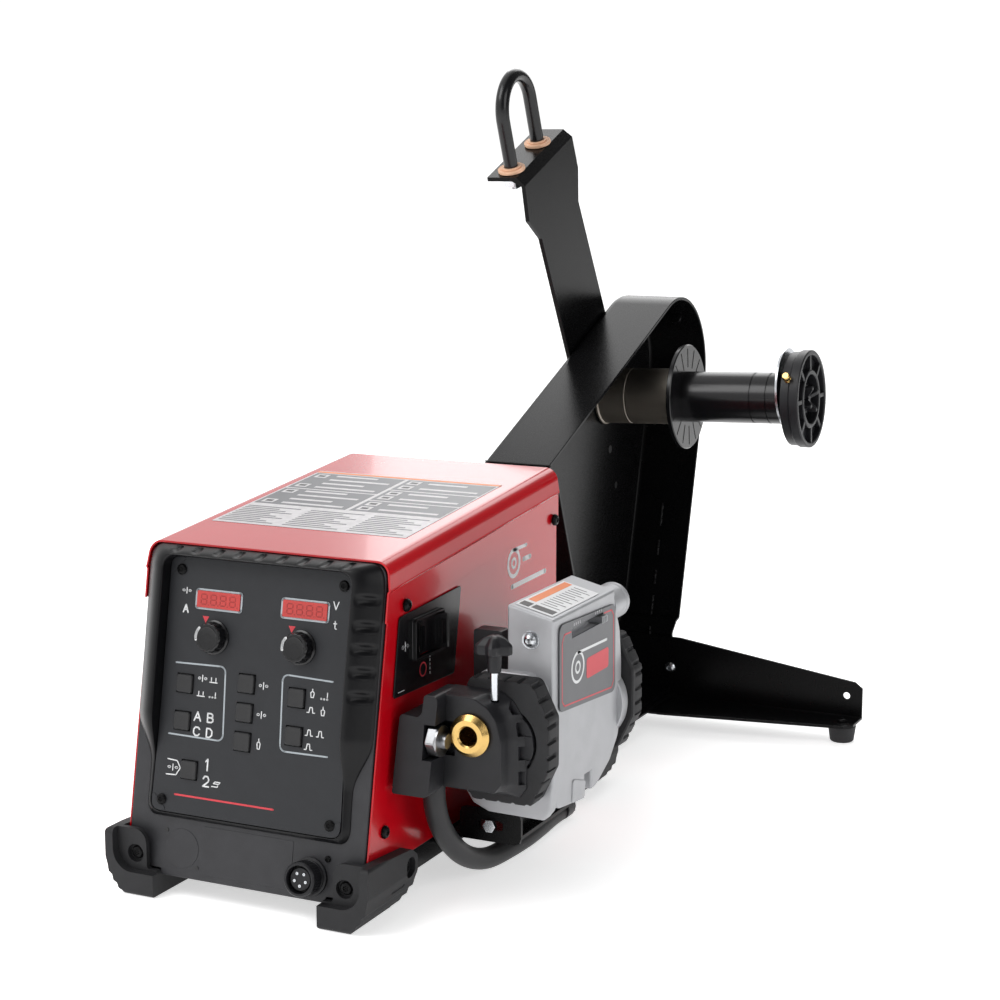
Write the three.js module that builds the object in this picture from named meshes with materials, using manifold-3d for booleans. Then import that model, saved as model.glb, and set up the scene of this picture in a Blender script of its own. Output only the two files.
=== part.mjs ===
// Bench wire feeder: a control box, a wire drive on its right side, and a reel stand behind it.
// Millimetres. Working axes: X right, Y back, Z up. The box's lower front edge is at y = 0 and its
// middle at x = 0. At the end the whole model is centred on its footprint, standing on z = 0.
import * as THREE from "three";
import { mergeVertices } from "three/addons/utils/BufferGeometryUtils.js";
import Module from "manifold-3d";

const wasm = await Module();
wasm.setup();

// ---------- driving dimensions ----------
const GAP = 0.35; // clearance between pieces that touch
const SHEET = 1.6; // folded sheet of the control box
const PLATE = 3; // heavier plate of the base and the reel stand

const BOX_HALF_WIDTH = 111;
const BOX_BASE = 40; // underside of the painted side panels
const BOX_FRONT_TOP = 282;
const BOX_FRONT_TOP_Y = 44; // how far the front leans back
const BOX_REAR = 357;
const BOX_REAR_TOP = 310;
const COVER_FLANGE = 46;
const COVER_CORNER = 12;

const BASE_TOP = 23.4;
const BASE_BOTTOM = BASE_TOP - PLATE;
const CROSSBAR_HALF_WIDTH = 132;
const CROSSBAR_FRONT = 362;
const CROSSBAR_REAR = 420;
const TONGUE_REAR = 679; // the tongue carries the reel stand
const REAR_FOOT_SHIFT = 21; // the rear feet stand this much wider than the front ones
const REAR_FOOT_FACE = 434;

const FOOT_HEIGHT = 54;
const FOOT_SOLE = 20;

const FACEPLATE_TOP = 5.5; // height of the faceplate's surface above the box's front plane
const KEY = 15;
const KEY_TRAVEL = 1;

const WIRE_X = 172; // wire path, parallel to Y
const WIRE_Z = 148;
const GEARBOX = { left: 177, right: 217, front: 113, rear: 239.5 };
const DRIVE_CENTRE = { x: 187, z: 138.5 }; // middle of both bumpers
const BUMPER_SIZE = { x: 43, z: 51.5 }; // half sizes
const ROLL_RADIUS = 15;
const ROLL_FRONT_Y = 155;
const ROLL_REAR_Y = 205;
const ROLL_X = [163.5, 174.5];
const ARM_X = [152, 158]; // the pressure arm's bar
const FEED_PLATE_DEPTH = 5; // how far the feed plate is let into the gearbox
const ARM_PIVOT = { y: 240, z: 174 };

const STAND_NEAR = 101; // free edge of the reel stand's band
const STAND_WEB = 34; // outer face of its web
const STAND_TOP = { y: 694, z: 360, radius: 81.5 }; // the round top of the stand
const SPINDLE = { y: 646, z: 340 };
const SPINDLE_TILT = THREE.MathUtils.degToRad(2);
const HUB_RADIUS = 25.5;
const STAND_REAR = 686.3; // upright tab at the foot of its rear edge
const LEG_REAR = STAND_REAR - PLATE - GAP;
const LEG_TOP = 20;
const LEG_ENDS = [-134, 310];
const BAIL_FACE = STAND_WEB - GAP;
const BAIL_SLOPE = THREE.MathUtils.degToRad(22.8);
const BAIL_PLATE = 4;
const U_BOLT_ROD = 6.5;
const U_BOLT_RADIUS = 32;

const CABLE_RADIUS = 9;
const CABLE_ROUTE = [
  [138.5, 60.5, 106],
  [138.5, 60.5, 93],
  [138.3, 63.5, 82],
  [138, 70, 69],
  [137.5, 85, 51],
  [137, 109, 31.5],
  [137, 135, 18.2],
  [138, 160, 11.2],
  [140, 190, 9.5],
  [142, 225, 9.5],
  [141, 255, 9.5],
  [139.2, 282, 9.5],
  [139, 292, 9.5],
  [139, 300, 9.5],
];

const FRONT_LEAN = Math.atan2(BOX_FRONT_TOP_Y, BOX_FRONT_TOP - BOX_BASE);
const TOP_SLOPE = Math.atan2(BOX_REAR_TOP - BOX_FRONT_TOP, BOX_REAR - BOX_FRONT_TOP_Y);

// ---------- materials ----------
const finish = (color, roughness, metalness = 0) =>
  new THREE.MeshStandardMaterial({ color, roughness, metalness });
const RED = finish(0xb3060c, 0.25);
const BLACK_PAINT = finish(0x17171a, 0.35);
const BLACK_PLASTIC = finish(0x232427, 0.6);
const RUBBER = finish(0x2b2b2e, 0.85);
const FACE = finish(0x2a2c2e, 0.55);
const LENS = finish(0x5a0a0c, 0.15);
const ALUMINIUM = finish(0xb9bbbd, 0.45, 0.8);
const STEEL = finish(0x8a8c8e, 0.35, 0.9);
const BRASS = finish(0xc59a45, 0.3, 0.9);
const BOARD = finish(0x1d5a33, 0.6);
const BADGE = finish(0x3b3d40, 0.4);

// ---------- shape helpers ----------
// Closed outline through points, with its corners rounded when a radius is given.
function outline(points, radius = 0) {
  const corners = points.map(([x, y]) => new THREE.Vector2(x, y));
  if (!radius) return new THREE.Shape(corners);
  const shape = new THREE.Shape();
  corners.forEach((corner, i) => {
    const before = corners[(i + corners.length - 1) % corners.length];
    const after = corners[(i + 1) % corners.length];
    const enter = before.clone().sub(corner).setLength(radius).add(corner);
    const leave = after.clone().sub(corner).setLength(radius).add(corner);
    if (i === 0) shape.moveTo(enter.x, enter.y);
    else shape.lineTo(enter.x, enter.y);
    shape.quadraticCurveTo(corner.x, corner.y, leave.x, leave.y);
  });
  shape.closePath();
  return shape;
}

const rectangle = (x0, x1, y0, y1) => [[x0, y0], [x1, y0], [x1, y1], [x0, y1]];

// Points of an arc about (cx, cy), angles in degrees.
function arc(cx, cy, radius, from, to, steps) {
  return Array.from({ length: steps + 1 }, (_, i) => {
    const angle = THREE.MathUtils.degToRad(from + ((to - from) * i) / steps);
    return [cx + radius * Math.cos(angle), cy + radius * Math.sin(angle)];
  });
}

// The same polygon moved inwards by a distance (outwards when negative); points run anticlockwise.
function inset(points, distance) {
  return points.map((point, i) => {
    const p = new THREE.Vector2(...point);
    const before = new THREE.Vector2(...points[(i + points.length - 1) % points.length]);
    const after = new THREE.Vector2(...points[(i + 1) % points.length]);
    const into = p.clone().sub(before).normalize();
    const out = after.clone().sub(p).normalize();
    const bisector = new THREE.Vector2(-into.y - out.y, into.x + out.x).normalize();
    const spread = bisector.dot(new THREE.Vector2(-into.y, into.x));
    const moved = p.add(bisector.multiplyScalar(distance / spread));
    return [moved.x, moved.y];
  });
}

// A shape's prism along Z from z0 to z1.
function prism(shape, z0, z1, curveSegments = 3) {
  const made = new THREE.ExtrudeGeometry(shape, { depth: z1 - z0, bevelEnabled: false, curveSegments });
  return made.translate(0, 0, z0);
}

// A prism along X of a shape drawn in (y, z).
function prismX(shape, x0, x1, curveSegments) {
  const turn = new THREE.Matrix4().set(0, 0, 1, 0, 1, 0, 0, 0, 0, 1, 0, 0, 0, 0, 0, 1);
  return prism(shape, x0, x1, curveSegments).applyMatrix4(turn);
}

// A prism along Y of a shape drawn in (x, z).
function prismY(shape, y0, y1, curveSegments) {
  return prism(shape, -y1, -y0, curveSegments).rotateX(Math.PI / 2);
}

const box = (x0, x1, y0, y1, z0, z1) =>
  new THREE.BoxGeometry(x1 - x0, y1 - y0, z1 - z0).translate((x0 + x1) / 2, (y0 + y1) / 2, (z0 + z1) / 2);

// A turned piece about Z, X or Y: [radius, height] points up its outside, and down its bore if it has one.
function turned(profile, sides = 24) {
  const closed = profile[0][0] === 0 ? profile : [...profile, profile[0]];
  const points = closed.map(([r, h]) => new THREE.Vector2(r, h));
  return new THREE.LatheGeometry(points, sides).rotateX(Math.PI / 2);
}
const turnedX = (profile, sides) => turned(profile, sides).rotateY(Math.PI / 2);
const turnedY = (profile, sides) => turned(profile, sides).rotateX(-Math.PI / 2);
const rod = (radius, h0, h1) => [[0, h0], [radius, h0], [radius, h1], [0, h1]];

function solid(geometry) {
  const bare = geometry.index ? geometry.toNonIndexed() : geometry.clone();
  bare.deleteAttribute("normal");
  bare.deleteAttribute("uv");
  const merged = mergeVertices(bare, 1e-4);
  return new wasm.Manifold(
    new wasm.Mesh({
      numProp: 3,
      vertProperties: merged.attributes.position.array,
      triVerts: new Uint32Array(merged.index.array),
    }),
  );
}

function geometryOf(made) {
  const { vertProperties, triVerts } = made.getMesh();
  const geometry = new THREE.BufferGeometry();
  geometry.setAttribute("position", new THREE.BufferAttribute(vertProperties, 3));
  geometry.setIndex(new THREE.BufferAttribute(triVerts, 1));
  geometry.computeVertexNormals();
  return geometry;
}

const join = (...geometries) => geometryOf(geometries.map(solid).reduce((a, b) => a.add(b)));
const cut = (body, ...tools) =>
  geometryOf(tools.map(solid).reduce((left, tool) => left.subtract(tool), solid(body)));
const common = (a, b) => geometryOf(solid(a).intersect(solid(b)));
const hull = (a, b) => geometryOf(solid(a).add(solid(b)).hull());

function piece(parent, name, geometry, material) {
  const made = new THREE.Mesh(geometry, material);
  made.name = name;
  parent.add(made);
  return made;
}

// ---------- control box ----------
const frontY = (z) => (z - BOX_BASE) * Math.tan(FRONT_LEAN);
const topZ = (y) => BOX_FRONT_TOP + (y - BOX_FRONT_TOP_Y) * Math.tan(TOP_SLOPE);

const ROCKER = { y: 100, z: 213, halfLength: 22, halfHeight: 14 };

function sidePanel() {
  const top = (y) => topZ(y) - COVER_CORNER - 2;
  const profile = [
    [0, BOX_BASE],
    [BOX_REAR, BOX_BASE],
    [BOX_REAR, top(BOX_REAR)],
    [BOX_FRONT_TOP_Y, top(BOX_FRONT_TOP_Y)],
  ];
  return join(
    prismX(outline(profile), BOX_HALF_WIDTH - SHEET, BOX_HALF_WIDTH),
    box(BOX_HALF_WIDTH - 12, BOX_HALF_WIDTH, BOX_REAR - SHEET, BOX_REAR, BOX_BASE, top(BOX_REAR) - 6),
  );
}

function rightSidePanel() {
  const { y, z, halfLength, halfHeight } = ROCKER;
  const room = 1.2;
  const along = [y - halfLength - room, y + halfLength + room];
  const up = [z - halfHeight - room, z + halfHeight + room];
  return cut(sidePanel(), box(BOX_HALF_WIDTH - 5, BOX_HALF_WIDTH + 5, ...along, ...up));
}

function topCover() {
  const outer = BOX_HALF_WIDTH + GAP + SHEET;
  const section = (half, corner, low) => [
    [-half, -low],
    [half, -low],
    ...arc(half - corner, -corner, corner, 0, 90, 4).map(([x, h]) => [x, h]),
    ...arc(corner - half, -corner, corner, 90, 180, 4),
  ];
  const height = (points, lift) => points.map(([x, h]) => [x, h + lift]);
  const length = BOX_REAR - BOX_FRONT_TOP_Y + 60;
  const hood = (points, from, to) =>
    prismY(outline(points), from, to)
      .rotateX(TOP_SLOPE)
      .translate(0, BOX_FRONT_TOP_Y, BOX_FRONT_TOP);
  const shell = cut(
    hood(section(outer, COVER_CORNER, COVER_FLANGE), -30, length - 30),
    hood(height(section(outer - SHEET, COVER_CORNER - SHEET, COVER_FLANGE + 9), -SHEET), -40, length),
  );
  const low = BOX_FRONT_TOP - 120;
  const silhouette = [
    [frontY(low) - 1.5, low],
    [BOX_REAR + 2, low],
    [BOX_REAR + 2, 360],
    [frontY(360) - 1.5, 360],
  ];
  return common(shell, prismX(outline(silhouette), -outer - 5, outer + 5));
}

function rearPanel() {
  const half = BOX_HALF_WIDTH - SHEET - GAP;
  const y = BOX_REAR - SHEET - GAP;
  const top = topZ(BOX_REAR) - SHEET - 2;
  return prismY(outline(rectangle(-half, half, BOX_BASE, top), 8), y - SHEET, y);
}

function basePan() {
  const half = BOX_HALF_WIDTH - 2;
  const wall = BOX_BASE - GAP;
  const tongue = [-20, half - SHEET];
  const plan = [
    [-half, 6],
    [half, 6],
    [half, CROSSBAR_FRONT],
    [CROSSBAR_HALF_WIDTH, CROSSBAR_FRONT],
    [CROSSBAR_HALF_WIDTH, CROSSBAR_REAR],
    [tongue[1], CROSSBAR_REAR],
    [tongue[1], TONGUE_REAR],
    [tongue[0], TONGUE_REAR],
    [tongue[0], CROSSBAR_REAR],
    [-CROSSBAR_HALF_WIDTH, CROSSBAR_REAR],
    [-CROSSBAR_HALF_WIDTH, CROSSBAR_FRONT],
    [-half, CROSSBAR_FRONT],
  ];
  const skirt = (x0, x1, y0, y1) => box(x0, x1, y0, y1, BASE_BOTTOM, wall);
  return join(
    prism(outline(plan), BASE_BOTTOM, BASE_TOP),
    skirt(half - SHEET, half, 6, CROSSBAR_FRONT),
    skirt(-half, SHEET - half, 6, CROSSBAR_FRONT),
    skirt(half - SHEET, CROSSBAR_HALF_WIDTH, CROSSBAR_FRONT - SHEET, CROSSBAR_FRONT),
    skirt(-CROSSBAR_HALF_WIDTH, SHEET - half, CROSSBAR_FRONT - SHEET, CROSSBAR_FRONT),
    skirt(-CROSSBAR_HALF_WIDTH, CROSSBAR_HALF_WIDTH, CROSSBAR_REAR - SHEET, CROSSBAR_REAR),
  );
}

// Moulded corner foot, drawn for the front right corner: x out from the middle, y back.
function foot() {
  const lobe = [
    [78, 0],
    [104, 0],
    [112, 8],
    [118, 18],
    [121.5, 30],
    [121.5, FOOT_HEIGHT],
    [92, FOOT_HEIGHT],
    [89, FOOT_SOLE],
    [78, FOOT_SOLE - 2],
  ];
  const side = [
    [-17.5, 0],
    [48, 0],
    [57, 8],
    [61, 18],
    [64, 28],
    [64, 42],
    [56, 49],
    [-2, FOOT_HEIGHT],
    [-17.5, FOOT_HEIGHT - 1],
  ];
  const innerWall = BOX_HALF_WIDTH + GAP;
  const wrapped = cut(
    common(prismY(outline(lobe, 2.5), -18, 80, 2), prismX(outline(side, 3), 70, 125, 2)),
    box(60, innerWall, -5.5, 90, FOOT_SOLE, 60),
  );
  const tabFace = [[70, 19.5], [97, 19.5], [108, 23], [114, 31], [115.5, 40], [115.5, 60], [70, 60]];
  const step = prismY(outline(tabFace), -25, -10);
  const screwWell = turnedY(rod(7.3, -20, -6.6), 16).translate(97.5, 0, 33.5);
  const sideWell = box(118, 125, 48, 60, 26, 42);
  return cut(wrapped, step, screwWell, sideWell);
}

// ---------- front panel, in its own frame: x right, y up the panel, z out ----------
const BEZEL_FLOOR = 1;
const BEZEL_RIM = 6;
const BEZEL_CREST = 14;
const PANEL_TOP = 243;

// An outline that mirrors its right-hand points, given from the bottom up.
const mirrored = (points, radius) =>
  outline([...points, ...[...points].reverse().map(([x, y]) => [-x, y])], radius);

const KEYS = {
  button_hot_wire: [-64, 133],
  button_cold_feed: [-64, 103],
  button_trigger_mode: [-6.5, 139],
  button_gas_purge: [-6.5, 116],
  button_test_mode: [-6.5, 93],
  button_preflow: [40, 133],
  button_postflow: [40, 103],
  button_procedure: [-54, 64.5],
};
const KNOB_X = 40;
const KNOB_Y = 172.5;
const DISPLAY = { left: -38, right: 41.7, y: 202, width: 41, height: 14 };
const CONNECTOR = { x: 61.5, y: -6.6 };

function frontBezel() {
  const plate = prism(mirrored([[108, -18.5], [108, PANEL_TOP]], 12), -6, BEZEL_FLOOR);
  const lip = prism(outline(rectangle(-77, 77, -23.3, -8), 1.5), -6, BEZEL_FLOOR, 1);
  const rim = [[94.5, 24], [94.5, 66], [107.5, 108], [107.5, PANEL_TOP]];
  const crest = [[90, 64], [97.5, 106], [97.5, PANEL_TOP - 3]];
  const pocket = [[88.5, 28], [86.4, 100], [86.4, 235]];
  return cut(
    join(
      plate,
      lip,
      prism(mirrored(rim, 11), BEZEL_FLOOR - 0.5, BEZEL_RIM),
      prism(mirrored(crest, 7), BEZEL_RIM - 0.5, BEZEL_CREST),
    ),
    prism(mirrored(pocket, 9), BEZEL_FLOOR, BEZEL_CREST + 5),
  );
}

function faceplate() {
  const face = [[87.8, 28.7], [85.7, 100], [85.7, 234.3]];
  const plate = prism(mirrored(face, 8.4), BEZEL_FLOOR + GAP, FACEPLATE_TOP);
  const half = KEY / 2 + 0.5;
  const holes = Object.values(KEYS).map(([x, y]) => box(x - half, x + half, y - half, y + half, -5, 20));
  return cut(plate, ...holes);
}

function key() {
  const half = KEY / 2;
  const bottom = BEZEL_FLOOR + KEY_TRAVEL + 0.8;
  return prism(outline(rectangle(-half, half, -half, half), 2), bottom, FACEPLATE_TOP + 2.2, 2);
}

function encoderKnob() {
  const skirt = FACEPLATE_TOP + GAP;
  return turned(
    [
      [0, skirt],
      [14, skirt],
      [14, skirt + 1.4],
      [12.6, skirt + 2.2],
      [12.2, skirt + 9.6],
      [11, skirt + 10.5],
      [0, skirt + 10.5],
    ],
    20,
  );
}

function displayLens() {
  const { width, height } = DISPLAY;
  const face = rectangle(-width / 2, width / 2, -height / 2, height / 2);
  return prism(outline(face, 1.5), FACEPLATE_TOP + GAP, FACEPLATE_TOP + GAP + 1.4, 1);
}

function triggerConnector() {
  return turned(
    [
      [0, BEZEL_FLOOR + GAP],
      [15.5, BEZEL_FLOOR + GAP],
      [15.5, 3.5],
      [12.5, 4.5],
      [12.5, 15.5],
      [10.5, 15.5],
      [10.5, 9],
      [0, 9],
    ],
    20,
  );
}

// ---------- right side switch ----------
const SWITCH_FACE = BOX_HALF_WIDTH + GAP + 1.4;

function switchPlate() {
  const { y, z, halfLength, halfHeight } = ROCKER;
  const plate = [[43, 173], [148, 170], [161, 241], [54, 236]];
  const margin = { y: halfLength + 3.5, z: halfHeight + 3 };
  const frame = rectangle(y - margin.y, y + margin.y, z - margin.z, z + margin.z);
  const room = 0.8;
  const along = [y - halfLength - room, y + halfLength + room];
  const up = [z - halfHeight - room, z + halfHeight + room];
  return cut(
    join(
      prismX(outline(plate, 2), BOX_HALF_WIDTH + GAP, SWITCH_FACE, 1),
      prismX(outline(frame, 2), SWITCH_FACE - 0.5, SWITCH_FACE + 3.5, 1),
    ),
    box(100, 130, ...along, ...up),
  );
}

// Drawn about its pivot: x out of the box, y along it.
function rocker() {
  const { halfLength, halfHeight } = ROCKER;
  const paddle = [
    [-4, 3 - halfLength],
    [2, 0.6 - halfLength],
    [9.5, 0.6 - halfLength],
    [7, 0],
    [9.5, halfLength - 0.6],
    [2, halfLength - 0.6],
    [-4, halfLength - 3],
  ];
  return prism(outline(paddle), -halfHeight, halfHeight);
}

// ---------- inside and behind the box ----------
function controlBoard() {
  const low = BASE_TOP + GAP;
  const carrier = box(-80, 60, 150, 154, low, 200);
  const shelf = box(-80, 60, 150, 190, low, low + 2);
  const parts = [
    box(-70, -30, 153.5, 185, 60, 95),
    box(-10, 30, 153.5, 168, 60, 84),
    box(-60, 40, 153.5, 163, 130, 150),
    turnedY(rod(9, 153.5, 178), 12).translate(-50, 0, 115),
    turnedY(rod(9, 153.5, 178), 12).translate(-20, 0, 115),
  ];
  return join(carrier, shelf, ...parts);
}

function gasSolenoid() {
  const low = BASE_TOP + GAP;
  return join(
    box(-70, -42, 300, 328, low, 60),
    turned(rod(12, 59.5, 96), 12).translate(-56, 314, 0),
  );
}

function controlConnector() {
  const face = BOX_REAR - GAP;
  return turnedY([[0, face], [20, face], [20, face + 4], [16, face + 4], [16, face + 26], [13, face + 26],
    [13, face + 10], [0, face + 10]], 20).translate(40, 0, 120);
}

function gasFitting() {
  const face = BOX_REAR - GAP;
  return turnedY([[0, face], [11, face], [11, face + 8], [7, face + 8], [7, face + 12], [9, face + 12],
    [9, face + 26], [0, face + 26]], 12).translate(-56, 0, 78);
}

// ---------- wire drive ----------
const SELECTOR = { low: 147, high: 209, length: 11, z0: 211.5, z1: 217.5 };

function gearbox() {
  const { left, right, front, rear } = GEARBOX;
  const side = [
    [front, 84],
    [126, 74],
    [160, 70],
    [200, 72],
    [232, 86],
    [250, 104],
    [256, 128],
    [256, 168],
    [251.5, 196],
    [rear, 223],
    [rear, 250],
    [front, 250],
  ];
  const lean = outline([[left, 60], [right, 60], [right, 231.5], [left, 241]]);
  const body = common(prismX(outline(side), left, right), prismY(lean, 90, 290));
  const face = [[141, 92], [150, 77], [164, 71], [213, 70], [219, 78], [222, 112], [221, 150], [212, 180],
    [199, 188], [160, 188], [146, 172], [141, 150]];
  const flange = prismY(outline(face), 105, front + 2);
  const rearFlange = turnedY(rod(38.5, 245, 258), 32).translate(184, 0, 131);
  const boss = turnedY(rod(15.5, rear - 0.8, 272), 24).translate(202.5, 0, 215.5);
  const wireWay = turnedY([[0, 100], [16, 100], [16, 120], [8, 120], [8, 262], [0, 262]], 20)
    .translate(WIRE_X, 0, WIRE_Z);
  const { low, high, z0, z1 } = SELECTOR;
  const slot = box(right - 7, right + 5, low - 1, high + 1, z0 - 1, z1 + 1);
  const inboard = box(100, left, front + 0.1, 252.6, 60, 250);
  const recess = box(left - 5, left + FEED_PLATE_DEPTH + GAP, 118, 251, 111.4, 191);
  return cut(join(body, cut(join(flange, rearFlange), inboard), boss), wireWay, slot, recess);
}

function badgePlate() {
  const { right } = GEARBOX;
  const plate = [[122.4, 154.7], [238.2, 145], [237.1, 220.7], [121.6, 225.8]];
  const { low, high, z0, z1 } = SELECTOR;
  return cut(
    prismX(outline(plate, 6), right + GAP, right + GAP + 1.3),
    box(right - 5, right + 9, low - 1, high + 1, z0 - 1, z1 + 1),
  );
}

function gearSelector() {
  const { right } = GEARBOX;
  const { high, length, z0, z1 } = SELECTOR;
  return box(right - 6, right + 6.5, high - length, high, z0, z1);
}

function feedPlate() {
  const right = GEARBOX.left + FEED_PLATE_DEPTH;
  const left = ROLL_X[1] + GAP;
  const plate = prismX(outline(rectangle(119, 250, 112.4, 190), 8), left, right);
  const axle = (y, z, reach) => turnedX(rod(4, reach, left + 1), 12).translate(0, y, z);
  const rollZ = WIRE_Z - ROLL_RADIUS - 0.4;
  return join(
    plate,
    axle(ROLL_FRONT_Y, rollZ, ROLL_X[0] - 1),
    axle(ROLL_REAR_Y, rollZ, ROLL_X[0] - 1),
    axle(ARM_PIVOT.y, ARM_PIVOT.z, ARM_X[0] - 3),
  );
}

function roll() {
  const [x0, x1] = ROLL_X;
  const r = ROLL_RADIUS;
  return turnedX(
    [
      [4.4, x0],
      [9, x0],
      [9, x0 + 2],
      [r, x0 + 3],
      [r, x1 - 1.5],
      [r - 1, x1 - 0.6],
      [4.4, x1 - 0.6],
    ],
    20,
  );
}

function pressureArm() {
  const rollZ = WIRE_Z + ROLL_RADIUS + 0.4;
  const arm = prismX(
    outline([[128, 158], [232, 158], [252, 166], [252, 184], [236, 186], [128, 182]], 4),
    ...ARM_X,
    2,
  );
  const tower = prismY(outline(rectangle(143, 168, 171.5, 216), 3), 122, 136, 2);
  const bridge = box(145, 168, 136 - 1, 142, 186, 200);
  const axle = (y) => turnedX(rod(4, ARM_X[1] - 1, ROLL_X[1] - 2), 12).translate(0, y, rollZ);
  const bore = turnedX(rod(4.4, ARM_X[0] - 5, ARM_X[1] + 5), 12).translate(0, ARM_PIVOT.y, ARM_PIVOT.z);
  return cut(join(arm, tower, bridge, axle(ROLL_FRONT_Y), axle(ROLL_REAR_Y)), bore);
}

function driveMotor() {
  return join(
    turnedY(rod(19, 126, 232), 24).translate(149, 0, 92),
    turnedY(rod(15, 122, 240), 24).translate(149, 0, 92),
    box(140, 158, 222, 238, 100, 111),
  );
}

function mountBracket() {
  const inner = BOX_HALF_WIDTH - 2 + GAP;
  const front = prismY(outline(rectangle(133, 188, 42, 69), 6), 116, 119, 2);
  const slot = prismY(outline(rectangle(150, 172, 52, 60), 3.5), 110, 125, 2);
  const shelf = join(
    box(inner, 126, 116, 244, 34, 37),
    box(123, 126, 116, 244, 34, 45),
    box(123, 182, 116, 244, 42, 45),
  );
  return cut(join(front, shelf, box(170, 173, 116, 241, 42, 112)), slot);
}

const CLAMP_BOLT = { y: 50, z: 143 };
const CLAMP_KNOB = { x: 185, y: 73 };

// The moulded nose: a block that takes the power cable, and a flared body that takes the gun.
function frontHousing() {
  const { x, z } = DRIVE_CENTRE;
  const plan = [[116, 101], [147.5, 101], [151, 179.5], [139, 179.5], [138, 165.5], [135, 162], [119, 163]];
  const lean = [[31, 95], [44, 182], [82, 182], [82, 95]];
  const block = common(prismY(outline(plan), 25, 82), prismX(outline(lean), 100, 160));
  const nose = [[141, 103], [192, 103], [197.5, 110], [197.5, 145], [193.5, 161], [186, 171],
    [174, 177.5], [141, 178.5]];
  const root = [[146, 95], [203, 95], [209, 103], [209.5, 142], [206, 160], [198, 172],
    [188, 179], [146, 180]];
  const body = hull(prismY(outline(nose), 58, 59), prismY(outline(root), 81, 82));
  const shoulder = turnedY(rod(35.6, 80, 104.6), 28).translate(x, 0, z);
  const bore = turnedY(rod(15.4, 50, 120), 20).translate(WIRE_X, 0, WIRE_Z);
  const boltRoom = box(141.5, 157.5, 30, 64.5, CLAMP_BOLT.z - 14.5, CLAMP_BOLT.z + 14.5);
  const [cableX, cableY, cableTop] = CABLE_ROUTE[0];
  const cableWay = turned(rod(CABLE_RADIUS + GAP, 80, cableTop + GAP), 16).translate(cableX, cableY, 0);
  const studWay = turned(rod(3.7, 172, 200), 12).translate(CLAMP_KNOB.x, CLAMP_KNOB.y, 0);
  return cut(join(block, body, shoulder), bore, boltRoom, cableWay, studWay);
}

// Eight-sided bumper with moulded ribs round its edge.
function bumperOutline() {
  const corner = { x: BUMPER_SIZE.x - 15.5, z: BUMPER_SIZE.z - 30.5 };
  const corners = [[BUMPER_SIZE.x, -corner.z], [BUMPER_SIZE.x, corner.z], [corner.x, BUMPER_SIZE.z],
    [-corner.x, BUMPER_SIZE.z], [-BUMPER_SIZE.x, corner.z], [-BUMPER_SIZE.x, -corner.z],
    [-corner.x, -BUMPER_SIZE.z], [corner.x, -BUMPER_SIZE.z]];
  const points = [];
  corners.forEach(([x, z], i) => {
    const [nextX, nextZ] = corners[(i + 1) % corners.length];
    const length = Math.hypot(nextX - x, nextZ - z);
    const inward = [(z - nextZ) / length, (nextX - x) / length];
    [[0, 0], [0.3, 0], [0.33, 1.8], [0.4, 1.8], [0.43, 0], [0.7, 0], [0.73, 1.8], [0.8, 1.8], [0.83, 0]]
      .forEach(([share, depth]) => {
        points.push([
          x + (nextX - x) * share + inward[0] * depth,
          z + (nextZ - z) * share + inward[1] * depth,
        ]);
      });
  });
  return points;
}

function bumper(y0, y1, boreRadius, boreX, boreZ) {
  const { x, z } = DRIVE_CENTRE;
  const ring = prismY(outline(bumperOutline()), y0, y1).translate(x, 0, z);
  return cut(ring, turnedY(rod(boreRadius, y0 - 5, y1 + 5), 24).translate(boreX, 0, boreZ));
}

function gunBushing() {
  const profile = [[7.5, 56], [12, 56], [15, 58.5], [15, 112], [7.5, 112]];
  return turnedY(profile, 24).translate(WIRE_X, 0, WIRE_Z);
}

function clampBolt() {
  const head = turnedX(rod(13, 142.5, 151), 6);
  const shank = turnedX(rod(6, 150, 156.5), 12);
  return join(head, shank).translate(0, CLAMP_BOLT.y, CLAMP_BOLT.z);
}

function clampKnob() {
  const star = [];
  const lobes = 5;
  for (let i = 0; i < lobes * 4; i += 1) {
    const angle = (i / (lobes * 4)) * 2 * Math.PI;
    const radius = 12.2 + 2.6 * Math.cos(angle * lobes);
    star.push([radius * Math.cos(angle), radius * Math.sin(angle)]);
  }
  return join(
    prism(outline(star), 207, 220),
    turned([[0, 219.5], [9, 219.5], [6, 224], [0, 224]], 20),
    turned(rod(5.5, 194, 207.5), 12),
    turned(rod(3.25, 174, 194.5), 12),
  );
}

class RoutedCurve extends THREE.CatmullRomCurve3 {
  constructor(points) {
    super(points.map((p) => new THREE.Vector3(...p)), false, "centripetal");
  }
}

function tube(points, radius, sides, steps) {
  const section = new THREE.Shape(
    arc(0, 0, radius, 0, 360 - 360 / sides, sides - 1).map(([x, y]) => new THREE.Vector2(x, y)),
  );
  return new THREE.ExtrudeGeometry(section, {
    steps,
    bevelEnabled: false,
    extrudePath: new RoutedCurve(points),
  });
}

function cableClamp() {
  return join(
    turnedY(rod(11, 300.4, 316), 16).translate(139, 0, 11.5),
    box(BOX_HALF_WIDTH - 2 + GAP, 128, 302, 314, 22, 32),
    box(122, 134, 302, 314, 10, 32),
  );
}

// ---------- reel stand ----------
// Side view of the stand in (y, z), anticlockwise from its lower front corner.
function standOutline() {
  const bottom = BASE_TOP + GAP;
  return [
    [492, bottom],
    [STAND_REAR, bottom],
    [STAND_REAR, 86],
    [697, 95.6],
    [706, 98],
    ...arc(STAND_TOP.y, STAND_TOP.z, STAND_TOP.radius, -15.4, 112.4, 9),
    [363, 311.2],
    [365, 307],
    [378, 299],
  ];
}

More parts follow.
